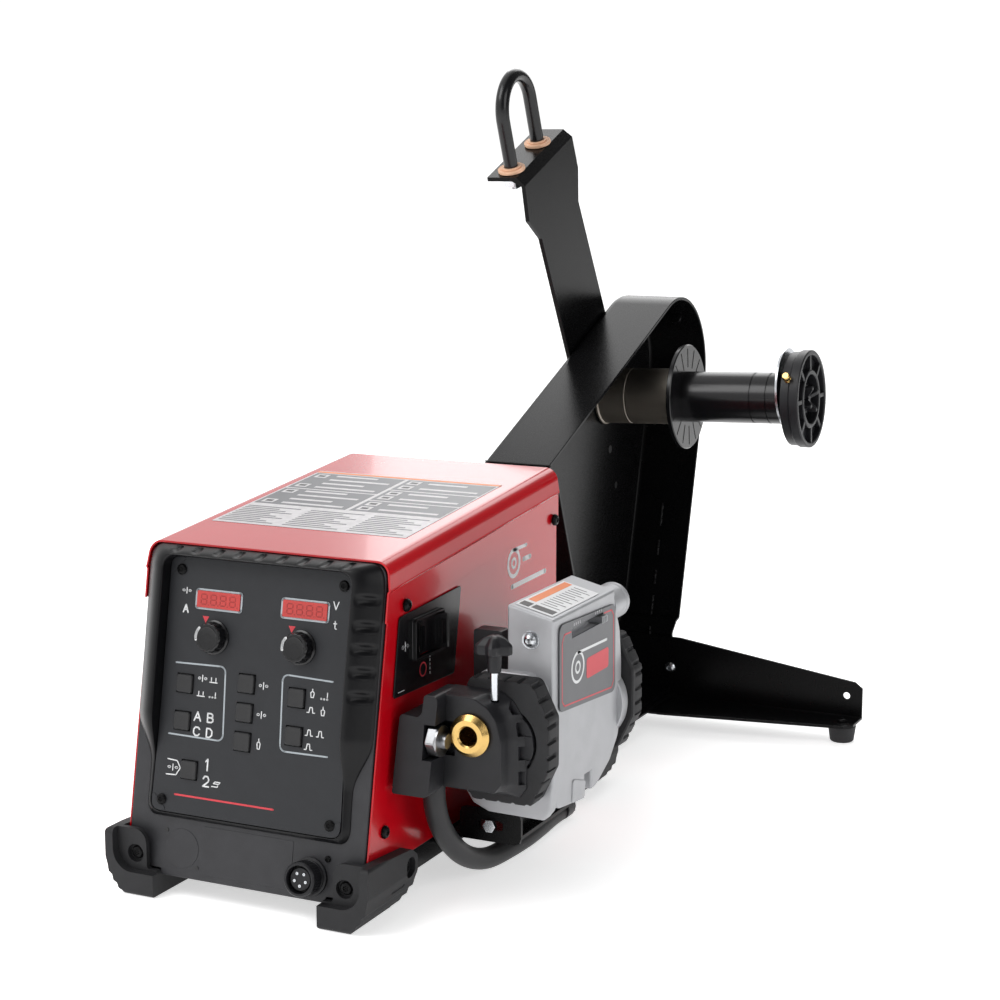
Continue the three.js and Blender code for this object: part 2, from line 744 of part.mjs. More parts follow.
function mast() {
  const side = standOutline();
  const shell = cut(
    prismX(outline(side), STAND_WEB, STAND_NEAR),
    prismX(outline(inset(side, PLATE)), STAND_WEB + PLATE, STAND_NEAR + 5),
  );
  const hole = (y, z) => turnedX(rod(4, STAND_WEB - 5, STAND_WEB + 10), 10).translate(0, y, z);
  const inner = STAND_REAR - PLATE;
  const legRoom = box(STAND_WEB + PLATE, STAND_NEAR + 5, inner - PLATE - 2 * GAP, inner, BASE_BOTTOM, 30);
  return cut(shell, hole(653, 284), hole(679, 242), legRoom);
}

const SHELF = { y: 453, z: 567, length: 117.7 }; // front end of the bail's bent top

// The space over the shelf's bend, which rounds off the strap's top edge.
function aboveShelf() {
  const face = BAIL_FACE;
  const wedge = [[face - 8, 0], [face, -8], [face + 5, -8], [face + 5, 20], [face - 8, 20]];
  return prismY(outline(wedge), -20, SHELF.length + 20).rotateX(BAIL_SLOPE).translate(0, SHELF.y, SHELF.z);
}

function bail() {
  const { y, z, length } = SHELF;
  const far = [y + length * Math.cos(BAIL_SLOPE), z + length * Math.sin(BAIL_SLOPE)];
  const plate = [
    [596, 332],
    [690, 366],
    [651, 431],
    [582, 542],
    [580.6, 575],
    far,
    [y, z],
    [465, 526],
    [494, 508.5],
    [553, 406.3],
  ];
  const strap = prismX(outline(plate), BAIL_FACE - BAIL_PLATE, BAIL_FACE);
  const section = [
    [-5, -BAIL_PLATE],
    [20, -BAIL_PLATE],
    [BAIL_FACE, -12],
    [BAIL_FACE, -8],
    [BAIL_FACE - 8, 0],
    [-5, 0],
  ];
  const shelf = prismY(outline(section), 0, length).rotateX(BAIL_SLOPE).translate(0, y, z);
  return join(cut(strap, aboveShelf()), shelf);
}

// Drawn about the middle of the shelf's top face: y along it, z out of it.
function uBolt() {
  const legs = 48.5;
  const washer = 5;
  const ends = [-U_BOLT_RADIUS, U_BOLT_RADIUS];
  const route = [
    [0, ends[0], washer - 1],
    [0, ends[0], legs * 0.5],
    ...arc(0, legs, U_BOLT_RADIUS, 180, 0, 10).map(([y, z]) => [0, y, z]),
    [0, ends[1], legs * 0.5],
    [0, ends[1], washer - 1],
  ];
  const pad = [[0, GAP], [13, GAP], [13, washer - 1], [10, washer], [0, washer]];
  const pads = ends.map((y) => turned(pad, 16).translate(0, y, 0));
  return join(tube(route, U_BOLT_ROD, 8, 28), ...pads);
}

function spindleShaft() {
  const root = STAND_WEB + PLATE + 2;
  const profile = [
    [0, root],
    [40, root],
    [40, root + 5],
    [28.5, root + 6],
    [28.5, 124],
    [12, 124],
    [12, 236],
    [0, 236],
  ];
  return turnedX(profile, 24);
}

function brakeHub() {
  return turnedX(
    [
      [12.4, 124.5],
      [53, 124.5],
      [53, 129.5],
      [HUB_RADIUS, 129.5],
      [HUB_RADIUS, 201],
      [HUB_RADIUS - 1, 201.5],
      [HUB_RADIUS - 1, 202.5],
      [HUB_RADIUS, 203],
      [HUB_RADIUS, 238.5],
      [12.4, 238.5],
    ],
    28,
  );
}

function retainingCollar() {
  return turnedX(
    [
      [19, 239],
      [40, 239],
      [42, 241],
      [42, 249],
      [48, 250],
      [48, 258],
      [46, 259.5],
      [42, 259.5],
      [40, 252],
      [26, 252],
      [24, 259],
      [19, 259],
    ],
    28,
  );
}

function wingNut() {
  return join(
    turnedX([[0, 236.6], [16, 239.4], [16, 252], [10, 255], [0, 255]], 16),
    prismX(outline(rectangle(-14, 14, -3, 3), 2), 250, 262, 2),
  );
}

// A tapered angle-section leg along X, from its inner end beside the stand's web to its outer end.
function rearLeg(inner, outer) {
  const out = Math.sign(outer - inner);
  const bottom = LEG_TOP - PLATE;
  const plan = [
    [inner, 608],
    [inner + out * 80, 610],
    [outer - out * 8, 640],
    [outer, 650],
    [outer, LEG_REAR],
    [inner, LEG_REAR],
  ];
  const upright = [
    [inner, bottom],
    [outer, bottom],
    [outer, 50],
    [outer - out * 8, 56],
    [inner + out * 74, 83],
    [inner, 83],
  ];
  const hole = turnedY(rod(3.7, LEG_REAR - 9, LEG_REAR + 9), 12).translate(outer - out * 16.5, 0, 41);
  const raised = prismY(outline(upright), LEG_REAR - PLATE, LEG_REAR);
  return join(prism(outline(plan), bottom, LEG_TOP), cut(raised, hole));
}

function legFoot() {
  const top = LEG_TOP - PLATE - GAP;
  return turned([[0, 0], [12, 0], [12.5, 1], [14, top], [0, top]], 20);
}

// ---------- assembly ----------
const feeder = new THREE.Group();

piece(feeder, "base_pan", basePan(), BLACK_PAINT);
piece(feeder, "right_side_panel", rightSidePanel(), RED);
piece(feeder, "left_side_panel", sidePanel(), RED).scale.x = -1;
piece(feeder, "top_cover", topCover(), RED);
piece(feeder, "rear_panel", rearPanel(), RED);
piece(feeder, "control_board", controlBoard(), BOARD);
piece(feeder, "gas_solenoid", gasSolenoid(), BRASS);
piece(feeder, "control_connector", controlConnector(), STEEL);
piece(feeder, "gas_fitting", gasFitting(), BRASS);

const footGeometry = foot();
for (const [name, side, rear] of [
  ["foot_front_right", 1, false],
  ["foot_front_left", -1, false],
  ["foot_rear_right", 1, true],
  ["foot_rear_left", -1, true],
]) {
  const made = piece(feeder, name, footGeometry, RUBBER);
  made.scale.set(side, rear ? -1 : 1, 1);
  if (rear) made.position.set(side * REAR_FOOT_SHIFT, REAR_FOOT_FACE - 18, 0);
}

const panel = new THREE.Group();
panel.position.set(0, 0, BOX_BASE);
panel.rotation.x = Math.PI / 2 - FRONT_LEAN;
feeder.add(panel);
piece(panel, "front_bezel", frontBezel(), BLACK_PLASTIC);
piece(panel, "faceplate", faceplate(), FACE);
const socket = piece(panel, "trigger_connector", triggerConnector(), BLACK_PLASTIC);
socket.position.set(CONNECTOR.x, CONNECTOR.y, 0);
const knobGeometry = encoderKnob();
const lensGeometry = displayLens();
for (const [side, sign] of [["left", -1], ["right", 1]]) {
  piece(panel, `display_${side}`, lensGeometry, LENS).position.set(DISPLAY[side], DISPLAY.y, 0);
  piece(panel, `knob_${side}`, knobGeometry, BLACK_PLASTIC).position.set(sign * KNOB_X, KNOB_Y, 0);
}
const keyGeometry = key();
for (const [name, [x, y]] of Object.entries(KEYS)) {
  piece(panel, name, keyGeometry, BLACK_PLASTIC).position.set(x, y, 0);
}

piece(feeder, "switch_plate", switchPlate(), BLACK_PLASTIC);
const rockerMesh = piece(feeder, "power_rocker", rocker(), BLACK_PLASTIC);
rockerMesh.position.set(BOX_HALF_WIDTH, ROCKER.y, ROCKER.z);
rockerMesh.rotation.z = THREE.MathUtils.degToRad(-7);

piece(feeder, "gearbox_housing", gearbox(), ALUMINIUM);
piece(feeder, "badge_plate", badgePlate(), BADGE);
piece(feeder, "gear_selector", gearSelector(), STEEL);
piece(feeder, "feed_plate", feedPlate(), ALUMINIUM);
piece(feeder, "drive_motor", driveMotor(), BLACK_PAINT);
piece(feeder, "mount_bracket", mountBracket(), BLACK_PAINT);
piece(feeder, "front_housing", frontHousing(), BLACK_PLASTIC);
piece(feeder, "front_bumper", bumper(82.5, 104.6, 36, DRIVE_CENTRE.x, DRIVE_CENTRE.z), RUBBER);
piece(feeder, "rear_bumper", bumper(258.4, 279, 8, WIRE_X, WIRE_Z), RUBBER);
piece(feeder, "gun_bushing", gunBushing(), BRASS);
piece(feeder, "clamp_bolt", clampBolt(), STEEL);
piece(feeder, "clamp_knob", clampKnob(), BLACK_PLASTIC).position.set(CLAMP_KNOB.x, CLAMP_KNOB.y, 0);
piece(feeder, "pressure_arm", pressureArm(), BLACK_PLASTIC);
const rollGeometry = roll();
const rollDrop = ROLL_RADIUS + 0.4;
for (const [name, y, z] of [
  ["drive_roll_front", ROLL_FRONT_Y, WIRE_Z - rollDrop],
  ["drive_roll_rear", ROLL_REAR_Y, WIRE_Z - rollDrop],
  ["pressure_roll_front", ROLL_FRONT_Y, WIRE_Z + rollDrop],
  ["pressure_roll_rear", ROLL_REAR_Y, WIRE_Z + rollDrop],
]) {
  piece(feeder, name, rollGeometry, STEEL).position.set(0, y, z);
}
piece(feeder, "power_cable", tube(CABLE_ROUTE, CABLE_RADIUS, 10, 24), RUBBER);
piece(feeder, "cable_clamp", cableClamp(), BLACK_PLASTIC);

piece(feeder, "mast", mast(), BLACK_PAINT);
piece(feeder, "bail", bail(), BLACK_PAINT);
const bolt = piece(feeder, "u_bolt", uBolt(), BLACK_PAINT);
bolt.position.set(14, SHELF.y + 48 * Math.cos(BAIL_SLOPE), SHELF.z + 48 * Math.sin(BAIL_SLOPE));
bolt.rotation.x = BAIL_SLOPE;
piece(feeder, "rear_leg_right", rearLeg(STAND_WEB + PLATE + GAP, LEG_ENDS[1]), BLACK_PAINT);
piece(feeder, "rear_leg_left", rearLeg(STAND_WEB - GAP, LEG_ENDS[0]), BLACK_PAINT);
piece(feeder, "leg_foot_right", legFoot(), RUBBER).position.set(296, 658, 0);
piece(feeder, "leg_foot_left", legFoot(), RUBBER).position.set(-120, 658, 0);

const spindle = new THREE.Group();
spindle.position.set(0, SPINDLE.y, SPINDLE.z);
spindle.rotation.y = -SPINDLE_TILT;
feeder.add(spindle);
piece(spindle, "spindle_shaft", spindleShaft(), STEEL);
piece(spindle, "brake_hub", brakeHub(), BLACK_PLASTIC);
piece(spindle, "retaining_collar", retainingCollar(), BLACK_PLASTIC);
piece(spindle, "wing_nut", wingNut(), BLACK_PLASTIC);

const extent = new THREE.Box3().setFromObject(feeder, true);
const middle = extent.getCenter(new THREE.Vector3());
feeder.position.set(-middle.x, -middle.y, -extent.min.z);

export default feeder;
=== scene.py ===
import math

import bmesh
import bpy
from mathutils import Matrix, Vector


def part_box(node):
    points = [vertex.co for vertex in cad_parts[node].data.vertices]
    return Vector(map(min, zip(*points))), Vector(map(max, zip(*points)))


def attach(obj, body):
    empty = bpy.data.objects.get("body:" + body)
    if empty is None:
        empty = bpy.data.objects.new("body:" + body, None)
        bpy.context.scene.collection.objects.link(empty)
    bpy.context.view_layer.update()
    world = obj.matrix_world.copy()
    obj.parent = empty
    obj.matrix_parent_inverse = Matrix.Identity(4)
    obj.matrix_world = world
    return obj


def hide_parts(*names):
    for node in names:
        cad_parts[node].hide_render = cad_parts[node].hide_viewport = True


# A bench wire feeder. Shapes are drawn in millimetres in a working frame: x right, y back, z up, with y 0 at
# the box's lower front edge and x 0 in its middle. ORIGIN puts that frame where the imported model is.
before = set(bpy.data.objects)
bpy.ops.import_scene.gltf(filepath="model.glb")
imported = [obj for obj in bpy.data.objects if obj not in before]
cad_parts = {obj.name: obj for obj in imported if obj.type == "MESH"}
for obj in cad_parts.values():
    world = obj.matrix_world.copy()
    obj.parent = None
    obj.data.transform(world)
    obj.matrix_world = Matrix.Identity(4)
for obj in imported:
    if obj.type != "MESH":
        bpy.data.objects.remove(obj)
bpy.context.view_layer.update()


def move(x, y, z):
    return Matrix.Translation((x, y, z))


def spin(degrees, axis="Z"):
    return Matrix.Rotation(math.radians(degrees), 4, axis)


MM = 0.001
PAN_CORNER = Vector((132, 6, 0))  # the base pan's low corner is this far left of, and behind, the origin
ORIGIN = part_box("base_pan")[0] + Vector((PAN_CORNER.x, -PAN_CORNER.y, 0)) * MM
ORIGIN.z = 0
TO_METRES = Matrix.Translation(ORIGIN) @ Matrix.Scale(MM, 4)

BOX_HALF = 111  # half the width over the side panels
BOX_BASE = 40  # underside of the side panels
FRONT_TOP = Vector((0, 44, 282))  # top front edge of the box
BOX_REAR = 357
REAR_TOP = 310
FRONT_LEAN = math.atan2(FRONT_TOP.y, FRONT_TOP.z - BOX_BASE)
TOP_SLOPE = math.atan2(REAR_TOP - FRONT_TOP.z, BOX_REAR - FRONT_TOP.y)
PANEL = move(0, 0, BOX_BASE) @ Matrix.Rotation(math.pi / 2 - FRONT_LEAN, 4, "X")
ROOF = Matrix.Translation(FRONT_TOP) @ Matrix.Rotation(TOP_SLOPE, 4, "X")
DISPLAYS = {"left": -38, "right": 41.7}  # middles of the display windows
KNOB_X = 40  # the encoder knobs stand this far left and right of the middle
FACE = 5.5  # height of the faceplate's surface over the box's front plane
WIRE = Vector((172, 0, 148))  # the wire's path, along y
DRIVE = Vector((187, 0, 138.5))  # middle of both bumpers
GEARBOX_TOP = move(177, 0, 241) @ Matrix.Rotation(math.atan2(9.5, 40), 4, "Y")
CLAMP_AXIS = move(185, 73, 0)  # the clamp knob's stud stands here
STAND_WEB = 34  # the stand's tray reaches from here
STAND_NEAR = 101  # to here, along x
SPINDLE = move(0, 646, 340) @ spin(-2, "Y")
SHELF = move(14, 497.25, 585.6) @ spin(22.8, "X")

X_UP = Matrix(((0, 0, 1, 0), (1, 0, 0, 0), (0, 1, 0, 0), (0, 0, 0, 1)))  # drawn in (y, z), raised along x
Y_UP = Matrix(((1, 0, 0, 0), (0, 0, 1, 0), (0, 1, 0, 0), (0, 0, 0, 1)))  # drawn in (x, z), raised along y
SPINDLE_AXIS = SPINDLE @ X_UP


def put(name, data):
    """A new object of this data in the scene."""
    made = bpy.data.objects.new(name, data)
    bpy.context.scene.collection.objects.link(made)
    return made


# ---------- camera ----------
def make_camera():
    data = bpy.data.cameras.new("camera")
    camera = put("camera", data)
    right = Vector((0.9026, 0.4305, 0)).normalized()
    back = Vector((0.4242, -0.8894, 0.1702)).normalized()
    up = back.cross(right)
    turn = Matrix((right, up, back)).transposed().to_4x4()
    camera.matrix_world = Matrix.Translation(ORIGIN + Vector((859, -1330, 600)) * MM) @ turn
    data.sensor_width = 36
    data.lens = 74.6
    data.clip_end = 200
    bpy.context.scene.camera = camera


# ---------- materials ----------
def srgb(code):
    """Linear red, green, blue of a hex colour such as "c8102e"."""
    parts = [int(code[i:i + 2], 16) / 255 for i in (0, 2, 4)]
    return [c / 12.92 if c <= 0.04045 else ((c + 0.055) / 1.055) ** 2.4 for c in parts]


def dial(node, **values):
    """Sets a node's inputs. An underscore stands for a space in an input's name."""
    for socket, value in values.items():
        node.inputs[socket.replace("_", " ")].default_value = value
    return node


def open_tree(holder):
    """The nodes of a material or world, and a function that links one node's output to another's input."""
    holder.use_nodes = True
    tree = holder.node_tree
    return tree.nodes, lambda a, out, b, into: tree.links.new(a.outputs[out], b.inputs[into])


def finish(name, code, rough, slot, metal=0.0, mottle=0.12, grain=900, bump=0.05, spread=0.08, **extra):
    """A surface whose colour, roughness and relief vary by noise. grain is the noise's scale per metre."""
    made = bpy.data.materials.new(name)
    nodes, link = open_tree(made)
    shader = dial(nodes["Principled BSDF"], Metallic=metal, **extra)
    place = nodes.new("ShaderNodeTexCoord")
    cloud = dial(nodes.new("ShaderNodeTexNoise"), Scale=grain * 0.03, Detail=4)
    fine = dial(nodes.new("ShaderNodeTexNoise"), Scale=grain, Detail=3)
    link(place, "Object", cloud, "Vector")
    link(place, "Object", fine, "Vector")
    shades = nodes.new("ShaderNodeValToRGB")
    for element, position, factor in zip(shades.color_ramp.elements, (0.3, 0.7), (1 - mottle, 1 + mottle)):
        element.position = position
        element.color = [min(1, c * factor) for c in srgb(code)] + [1]
    link(cloud, "Fac", shades, "Fac")
    link(shades, "Color", shader, "Base Color")
    gloss = nodes.new("ShaderNodeMapRange")
    dial(gloss, To_Min=max(0.02, rough - spread), To_Max=min(1, rough + spread))
    link(fine, "Fac", gloss, "Value")
    link(gloss, "Result", shader, "Roughness")
    relief = dial(nodes.new("ShaderNodeBump"), Strength=bump, Distance=0.0004)
    link(fine, "Fac", relief, "Height")
    link(relief, "Normal", shader, "Normal")
    return made


def turned_finish(name, code, rough, slot, axis, scale=1400):
    """Machined metal with fine lines around or along an axis, by stretching the noise along it."""
    made = finish(name, code, rough, slot, metal=1.0, mottle=0.06, grain=scale, bump=0.12, spread=0.1)
    nodes, link = open_tree(made)
    place = next(n for n in nodes if n.type == "TEX_COORD")
    stretch = dial(nodes.new("ShaderNodeMapping"), Scale=axis)
    link(place, "Object", stretch, "Vector")
    for noise in [n for n in nodes if n.type == "TEX_NOISE"]:
        link(stretch, "Vector", noise, "Vector")
    return made


def ink(name, code, rough, mottle=0.04, grain=2500):
    return finish(name, code, rough, "badge_film", grain=grain, bump=0.04, mottle=mottle)


RED = finish("red_paint", "b80414", 0.2, "red_paint", mottle=0.03, grain=500, bump=0.006,
             Specular_IOR_Level=0.4, Coat_Weight=0.25, Coat_Roughness=0.05)
BLACK_PAINT = finish("black_paint", "0b0b0c", 0.26, "black_paint", mottle=0.15, grain=1300, bump=0.05,
                     Specular_IOR_Level=0.12)
BLACK_PLASTIC = finish("black_plastic", "1a1a1d", 0.4, "black_plastic", grain=2600, bump=0.2,
                       Specular_IOR_Level=0.3)
BEZEL_PLASTIC = finish("bezel_plastic", "2b2b2e", 0.48, "black_plastic", grain=2600, bump=0.22,
                       Specular_IOR_Level=0.4)
GLOSS_PLASTIC = finish("gloss_black_plastic", "0d0d0f", 0.22, "black_plastic", grain=1800, bump=0.03,
                       Specular_IOR_Level=0.4)
HOOD_PLASTIC = finish("hood_plastic", "0e0e10", 0.34, "black_plastic", grain=2600, bump=0.1,
                      Specular_IOR_Level=0.22)
FILM = finish("faceplate_film", "26272a", 0.5, "faceplate_film", grain=3000, bump=0.1, mottle=0.05,
              Specular_IOR_Level=0.3)
KEY_PLASTIC = finish("key_plastic", "161618", 0.5, "black_plastic", grain=3000, bump=0.15)
RUBBER = finish("rubber", "1f1f21", 0.62, "rubber", grain=2200, bump=0.25, Specular_IOR_Level=0.35)
CABLE = finish("cable_jacket", "1f1f21", 0.5, "rubber", grain=1600, bump=0.15, Specular_IOR_Level=0.4)
CAST = finish("cast_aluminium", "a8a9ac", 0.42, "cast_aluminium", metal=0.35, mottle=0.05, grain=1500,
              bump=0.3)
ZINC = finish("zinc_plate", "c9ccd0", 0.24, "steel", metal=1.0, grain=1200, bump=0.08)
TUBE_STEEL = turned_finish("mill_steel", "8d867d", 0.45, "steel", (1, 0.2, 0.2), 900)
STEEL = finish("machined_steel", "9a9b9d", 0.3, "steel", metal=1.0, grain=1800, bump=0.1)
BRASS = turned_finish("brass", "cfac6a", 0.24, "brass", (1, 0.15, 1), 1600)
BADGE = finish("badge_film", "4a4b4f", 0.35, "badge_film", grain=2400, bump=0.06, mottle=0.06)
LENS = finish("display_lens", "b3302b", 0.3, "display_glass", grain=900, bump=0.01, Coat_Weight=0.3)
SEGMENT = finish("display_segment", "8c1f1c", 0.3, "display_glass", grain=900, bump=0.01)
FIBRE = finish("fibre_washer", "d3a88a", 0.6, "brass", grain=1800, bump=0.3, mottle=0.2)
BOARD = finish("circuit_board", "1d5a33", 0.4, "circuit_board", grain=2500, bump=0.1)
WHITE_INK = ink("white_ink", "d9dadb", 0.5)
GREY_INK = ink("grey_ink", "9fa6ab", 0.5)
LABEL_GREY = ink("label_grey", "5d5e62", 0.4)
PALE_LABEL = ink("pale_label", "c3c0c2", 0.42, 0.1, 5200)
RED_INK = ink("red_ink", "c8343f", 0.45, 0.05)
ORANGE_INK = ink("orange_ink", "e0762b", 0.45, 0.05)
# Black print; the same ink also colours dark discs painted as shade where holes are.
BLACK_INK_AND_HOLE_SHADE = ink("black_ink_and_hole_shade", "1b1b1c", 0.45, 0.12)


# ---------- shapes ----------
class Shape:
    """Vertices and faces in working millimetres; several closed shells may share one."""

    def __init__(self, verts, faces):
        self.verts = [Vector(v) for v in verts]
        self.faces = [tuple(f) for f in faces]

    def at(self, matrix):
        return Shape([matrix @ v for v in self.verts], self.faces)

    def __add__(self, other):
        shift = len(self.verts)
        moved = [tuple(i + shift for i in f) for f in other.faces]
        return Shape(self.verts + other.verts, self.faces + moved)


def together(shapes):
    return sum(shapes, Shape([], []))


def rectangle(x0, x1, y0, y1):
    return [(x0, y0), (x1, y0), (x1, y1), (x0, y1)]


def arc(cx, cy, radius, start, end, steps):
    """Points of an arc about (cx, cy), angles in degrees."""
    angles = [math.radians(start + (end - start) * i / steps) for i in range(steps + 1)]
    return [(cx + radius * math.cos(a), cy + radius * math.sin(a)) for a in angles]


def circle(cx, cy, radius, steps=32):
    return arc(cx, cy, radius, 0, 360, steps)[:-1]


def turns(count):
    """Angles evenly spaced round a full turn, in radians."""
    return [2 * math.pi * k / count for k in range(count)]


def rounded(points, radius, steps=5):
    """The same closed outline with its corners rounded. radius is one number or one for each corner."""
    radii = radius if isinstance(radius, (list, tuple)) else [radius] * len(points)
    made = []
    for i, (point, r) in enumerate(zip(points, radii)):
        corner = Vector(point)
        before = (Vector(points[i - 1]) - corner).normalized()
        after = (Vector(points[(i + 1) % len(points)]) - corner).normalized()
        half = before.angle(after) / 2
        if r <= 0 or half > 1.5:
            made.append(point)
            continue
        centre = corner + (before + after).normalized() * (r / math.sin(half))
        reach = r / math.tan(half)
        start = corner + before * reach - centre
        end = corner + after * reach - centre
        for k in range(steps + 1):
            made.append(tuple(centre + start.slerp(end, k / steps) * r))
    return made


def offset(points, distance):
    """The closed anticlockwise outline moved inwards by a distance."""
    made = []
    for i, point in enumerate(points):
        p = Vector(point)
        into = (p - Vector(points[i - 1])).normalized()
        out = (Vector(points[(i + 1) % len(points)]) - p).normalized()
        side = Vector((-into.y - out.y, into.x + out.x)).normalized()
        spread = max(0.3, side.dot(Vector((-into.y, into.x))))
        made.append(tuple(p + side * (distance / spread)))
    return made


def loft(loops, closed=False):
    """A skin through loops of equally many points. It is capped at both ends, or closed on itself."""
    count = len(loops[0])
    verts = [v for loop in loops for v in loop]
    faces = []
    for a in range(len(loops) if closed else len(loops) - 1):
        b = (a + 1) % len(loops)
        for i in range(count):
            j = (i + 1) % count
            faces.append((a * count + i, a * count + j, b * count + j, b * count + i))
    if not closed:
        faces.append(tuple(reversed(range(count))))
        faces.append(tuple(range((len(loops) - 1) * count, len(loops) * count)))
    return Shape(verts, faces)


def prism(points, low, high):
    return loft([[(x, y, z) for x, y in points] for z in (low, high)])


def prism_x(points, low, high):
    return prism(points, low, high).at(X_UP)


def prism_y(points, low, high):
    return prism(points, low, high).at(Y_UP)


def slab(x0, x1, y0, y1, z0, z1):
    return prism(rectangle(x0, x1, y0, y1), z0, z1)


def lathe(profile, sides=64):
    """Turned about Z from [radius, height] points. A profile that stays off the axis closes on itself."""
    rings, verts, faces = [], [], []
    for radius, height in profile:
        count = 1 if radius < 1e-6 else sides
        rings.append(range(len(verts), len(verts) + count))
        for i in range(count):
            angle = 2 * math.pi * i / sides
            verts.append((radius * math.cos(angle), radius * math.sin(angle), height))
    pairs = list(zip(rings, rings[1:]))
    if profile[0][0] > 1e-6:
        pairs.append((rings[-1], rings[0]))
    for a, b in pairs:
        for i in range(sides if len(a) + len(b) > 2 else 0):
            j = (i + 1) % sides
            quad = [a[i % len(a)], a[j % len(a)], b[j % len(b)], b[i % len(b)]]
            faces.append([v for k, v in enumerate(quad) if v not in quad[:k]])
    return Shape(verts, faces)


def turned(profile, matrix=Matrix.Identity(4), sides=64, radius=0.0):
    """A lathe shape, put in place by a matrix, with the corners off its axis rounded by a radius."""
    if radius:
        radii = [radius] * len(profile)
        if profile[0][0] < 1e-6:
            radii[0] = radii[-1] = 0
        profile = rounded(profile, radii, 3)
    return lathe(profile, sides).at(matrix)


def rod(radius, low, high, matrix=Matrix.Identity(4), sides=64, soft=0.0):
    """A plain cylinder along Z, with its edges rounded by soft."""
    return turned([(0, low), (radius, low), (radius, high), (0, high)], matrix, sides, soft)


def around(shape, count, start=0.0):
    """Copies of a shape, evenly spaced round the Z axis."""
    return together(shape.at(Matrix.Rotation(angle + start, 4, "Z")) for angle in turns(count))


def lobed(rows, reach, count):
    """A skin round the Z axis from rows of (height, scale). reach gives its radius at an angle."""
    outline = [(reach(a) * math.cos(a), reach(a) * math.sin(a)) for a in turns(count)]
    return loft([[(x * scale, y * scale, height) for x, y in outline] for height, scale in rows])


def along_y(x, z):
    """Places a turned shape's axis along y, through (x, z)."""
    return move(x, 0, z) @ Y_UP


def smooth_path(points, per=6):
    """Points of a centripetal Catmull-Rom curve through the given ones."""
    p = [Vector(q) for q in points]
    p = [2 * p[0] - p[1]] + p + [2 * p[-1] - p[-2]]
    made = []
    for a, b, c, d in zip(p, p[1:], p[2:], p[3:]):
        t = [0.0]
        for u, v in ((a, b), (b, c), (c, d)):
            t.append(t[-1] + max(1e-4, (v - u).length) ** 0.5)
        for k in range(per):
            s = t[1] + (t[2] - t[1]) * k / per
            ab = a.lerp(b, (s - t[0]) / (t[1] - t[0]))
            bc = b.lerp(c, (s - t[1]) / (t[2] - t[1]))
            cd = c.lerp(d, (s - t[2]) / (t[3] - t[2]))
            abc = ab.lerp(bc, (s - t[0]) / (t[2] - t[0]))
            bcd = bc.lerp(cd, (s - t[1]) / (t[3] - t[1]))
            made.append(abc.lerp(bcd, (s - t[1]) / (t[2] - t[1])))
    return made + [p[-2]]


def tube(path, radius, sides=20):
    """A round bar along a path. radius is a number, or a function of the distance along the path."""
    path = [Vector(q) for q in path]
    size = radius if callable(radius) else lambda s: radius
    ahead = (path[1] - path[0]).normalized()
    side = ahead.orthogonal().normalized()
    loops, distance = [], 0.0
    for i, p in enumerate(path):
        tangent = (path[min(i + 1, len(path) - 1)] - path[max(i - 1, 0)]).normalized()
        side = (side - tangent * side.dot(tangent)).normalized()
        across = tangent.cross(side)
        distance += (p - path[i - 1]).length if i else 0
        r = size(distance)
        loops.append([p + (side * math.cos(a) + across * math.sin(a)) * r for a in turns(sides)])
    return loft(loops)


def build(shape):
    """A bmesh of the shape with shared vertices merged and every shell facing outwards."""
    bm = bmesh.new()
    verts = [bm.verts.new(v) for v in shape.verts]
    for face in shape.faces:
        if bm.faces.get([verts[i] for i in face]) is None:
            bm.faces.new([verts[i] for i in face])
    bmesh.ops.remove_doubles(bm, verts=bm.verts, dist=1e-3)
    bmesh.ops.recalc_face_normals(bm, faces=bm.faces)
    return bm


def mesh_of(shape, name):
    mesh = bpy.data.meshes.new(name)
    bm = build(shape)
    bm.to_mesh(mesh)
    bm.free()
    return mesh


def soften(shape, width=0.8, segments=2, angle=28):
    """The shape with flat faces merged and its sharp edges rounded."""
    bm = build(shape)
    bmesh.ops.dissolve_limit(bm, angle_limit=math.radians(0.6), verts=bm.verts, edges=bm.edges)
    sharp = [e for e in bm.edges if len(e.link_faces) == 2 and e.calc_face_angle(0) > math.radians(angle)]
    bmesh.ops.bevel(bm, geom=sharp, offset=width, offset_type="OFFSET", segments=segments, profile=0.5,
                    affect="EDGES", clamp_overlap=True)
    bm.verts.ensure_lookup_table()
    bm.verts.index_update()
    made = Shape([v.co.copy() for v in bm.verts], [[v.index for v in f.verts] for f in bm.faces])
    bm.free()
    return made


def combine(operation, body, *others):
    """The union, difference or intersection of closed shapes."""
    made = [put("tool", mesh_of(shape, "tool")) for shape in (body, *others)]
    for other in made[1:]:
        modifier = made[0].modifiers.new("cut", "BOOLEAN")
        modifier.operation = operation
        modifier.solver = "EXACT"
        modifier.object = other
    bpy.context.view_layer.update()
    solved = made[0].evaluated_get(bpy.context.evaluated_depsgraph_get())
    result = bpy.data.meshes.new_from_object(solved)
    shape = Shape([v.co.copy() for v in result.vertices], [list(p.vertices) for p in result.polygons])
    for tool in made:
        bpy.data.objects.remove(tool)
    bpy.data.meshes.remove(result)
    return shape


def cut(body, *tools):
    return combine("DIFFERENCE", body, *tools)


def cad(node):
    """A CAD node's own shape."""
    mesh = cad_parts[node].data
    back = TO_METRES.inverted()
    return Shape([back @ v.co for v in mesh.vertices], [list(p.vertices) for p in mesh.polygons])


def piece(name, shape, paint, body="frame", stands_for=(), smooth=38):
    """A finished, visible piece that rides on a body and may stand for CAD nodes."""
    mesh = mesh_of(shape, name)
    mesh.transform(TO_METRES)
    mesh.shade_smooth()
    mesh.set_sharp_from_angle(angle=math.radians(smooth))
    mesh.materials.append(paint)
    made = put(name, mesh)
    made.modifiers.new("normals", "WEIGHTED_NORMAL").keep_sharp = True
    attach(made, body)
    if stands_for:
        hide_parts(*stands_for)
    return made


